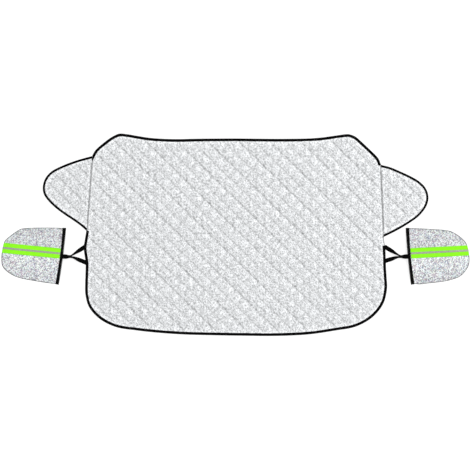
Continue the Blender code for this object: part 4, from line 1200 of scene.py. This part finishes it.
def leg(rise, layer, seat):
    """Points, and directions of width and thickness, from the panel to the mouth."""
    crossing = CROSSING_REACH - STRAP_REACH
    start = np.array([-STRAP_REACH, rise])
    run = np.array([crossing, 0.0]) - start
    spread = layer * CROSSING_SPREAD / 2
    line = smooth_curve(np.array([
        start - run / np.linalg.norm(run) * STRAP_TUCK,
        *[start + run * share for share in LEG_SHARES],
        (crossing, spread - STEM_DROP),
        (crossing * STEM_SHARES[0], spread * STEM_SHARES[0] - STEM_DROP),
        (-ELASTIC_WIDTH, spread * STEM_SHARES[1] - STEM_DROP),
        (ELASTIC_WIDTH / 3, -STEM_DROP)]), per_span=9)
    ground = STRAP_LIFT + STRAP_THICKNESS / 2
    middles, twists = [], []
    for u, v in line:
        on_leg = u < crossing
        flat_at = LEG_FLAT_REACH - STRAP_REACH if on_leg else -STEM_FLAT_REACH
        share = np.clip((u - flat_at) / (crossing - flat_at), 0, 1)
        carried = 0.0 if on_leg else 1 - share
        ease = LEG_TWIST_EASE if on_leg else STEM_TWIST_EASE
        twist = STRAP_TWIST * math.sin(math.pi / 2 * share) ** ease
        on_edge = ground + STRAP_WIDTH / 2 * math.sin(twist)
        z = on_edge + (seat - on_edge) * eased(carried)
        z += (STRAP_THICKNESS + LAYER_GAP) / 2 * (1 + layer) * carried
        middles.append((u, v, z))
        twists.append(twist)
    middles = np.array(middles)
    found = []
    for middle, tangent, twist in zip(middles, np.gradient(middles, axis=0), twists):
        tangent = tangent / np.linalg.norm(tangent)
        level = np.array([-tangent[1], tangent[0], 0.0])
        level /= np.linalg.norm(level)
        upright = np.cross(tangent, level)
        found.append((middle, math.cos(twist) * level - math.sin(twist) * upright,
                      math.cos(twist) * upright + math.sin(twist) * level))
    return found


for side in SIGN:
    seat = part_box(f"{side}_mouth_elastic")[1].z + LAYER_GAP + STRAP_THICKNESS / 2
    upper = leg(LEGS[side][0], 1, seat)
    lower = leg(-LEGS[side][1], -1, seat)
    centre = (upper[-1][0] + lower[-1][0]) / 2
    radius = (upper[-1][0] - lower[-1][0])[2] / 2
    stations = list(upper)
    for turn in np.radians(np.arange(TURN_STEP, 180, TURN_STEP)):
        thick = np.array([math.sin(turn), 0.0, math.cos(turn)])
        stations.append((centre + thick * radius, upper[-1][1], thick))
    stations += [(middle, wide, -thick) for middle, wide, thick in reversed(lower)]
    sections = []
    for middle, wide, thick in stations:
        section = [middle + wide * w * STRAP_WIDTH / 2 + thick * t * STRAP_THICKNESS / 2
                   for w, t in WEB_SECTION]
        sections.append([(SIGN[side] * (MOUTH_MIDDLE[0] + u), MOUTH_MIDDLE[1] + v, z)
                         for u, v, z in section])
    made = sweep(f"{side}_strap", sections, webbing_black, sharp=50)
    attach(made, "root")
    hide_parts(f"{side}_mirror_strap")
    path = np.array([station[0] for station in stations])
    length = np.linalg.norm(np.diff(path, axis=0), axis=1).sum()
    print(made.name, round(length, 3), "m")

# %% [markdown]
# ## Floor and light
# The picture has a white ground. A large soft lamp up to the right and a pale sky, brighter
# overhead, give the relief its bright and dark sides. What the camera and mirrors see of the
# floor gets a little light of its own, so that it is white and still keeps the shadow, and
# they see the sky itself as plain white.

# %% Floor, lamp and sky
def seen_directly(tree):
    """1 for rays from the camera and from mirrors and glass."""
    path = tree.nodes.new("ShaderNodeLightPath")
    seen = maths(tree, "MAXIMUM", path.outputs["Is Camera Ray"], path.outputs["Is Glossy Ray"])
    return maths(tree, "MAXIMUM", seen, path.outputs["Is Transmission Ray"])


def paper():
    made = bpy.data.materials.new("paper")
    made.use_nodes = True
    tree = made.node_tree
    tree.nodes.clear()
    seen = seen_directly(tree)
    plain = add(tree, "BsdfDiffuse", {"Color": grey(0.80)})
    shaded = add(tree, "BsdfDiffuse", {"Color": grey(0.45)})
    glow = add(tree, "Emission", {"Color": grey(1.0), "Strength": 0.66})
    lit = add(tree, "AddShader", {0: shaded, 1: glow})
    out = tree.nodes.new("ShaderNodeOutputMaterial")
    tree.links.new(add(tree, "MixShader", {0: seen, 1: plain, 2: lit}), out.inputs["Surface"])
    return made


bpy.ops.mesh.primitive_plane_add(size=16.0, location=(0, 0, -0.0004))
floor = bpy.context.object
floor.name = "floor"
floor.data.materials.append(paper())

SKY_LEVEL, SKY_LOW, SKY_HIGH = 0.76, 0.45, 1.55
LAMP_LEVEL = 0.85
LAMP_WIDTH = math.radians(40)
LAMP_BEARING, LAMP_ELEVATION = math.radians(28), math.radians(55)
sky = bpy.data.worlds.new("sky")
sky.use_nodes = True
tree = sky.node_tree
aim = parts(tree, add(tree, "TexCoord", output="Generated"))
backdrop = tree.nodes["Background"]
backdrop.inputs["Color"].default_value = (1, 1, 1, 1)
overhead = between(tree, aim[2], 0.1, 1.0, SKY_LEVEL * SKY_LOW, SKY_LEVEL * SKY_HIGH)
strength = add(tree, "Mix", {0: seen_directly(tree), 2: overhead, 3: 1.0})
tree.links.new(strength, backdrop.inputs["Strength"])
bpy.context.scene.world = sky
toward = Vector((
    math.cos(LAMP_BEARING) * math.cos(LAMP_ELEVATION),
    math.sin(LAMP_BEARING) * math.cos(LAMP_ELEVATION), math.sin(LAMP_ELEVATION)))
bpy.ops.object.light_add(
    type="SUN", location=toward * 5, rotation=toward.to_track_quat("Z", "Y").to_euler())
lamp = bpy.context.object
lamp.data.angle = LAMP_WIDTH
lamp.data.energy = LAMP_LEVEL
print("lamp:", [round(side, 2) for side in toward])
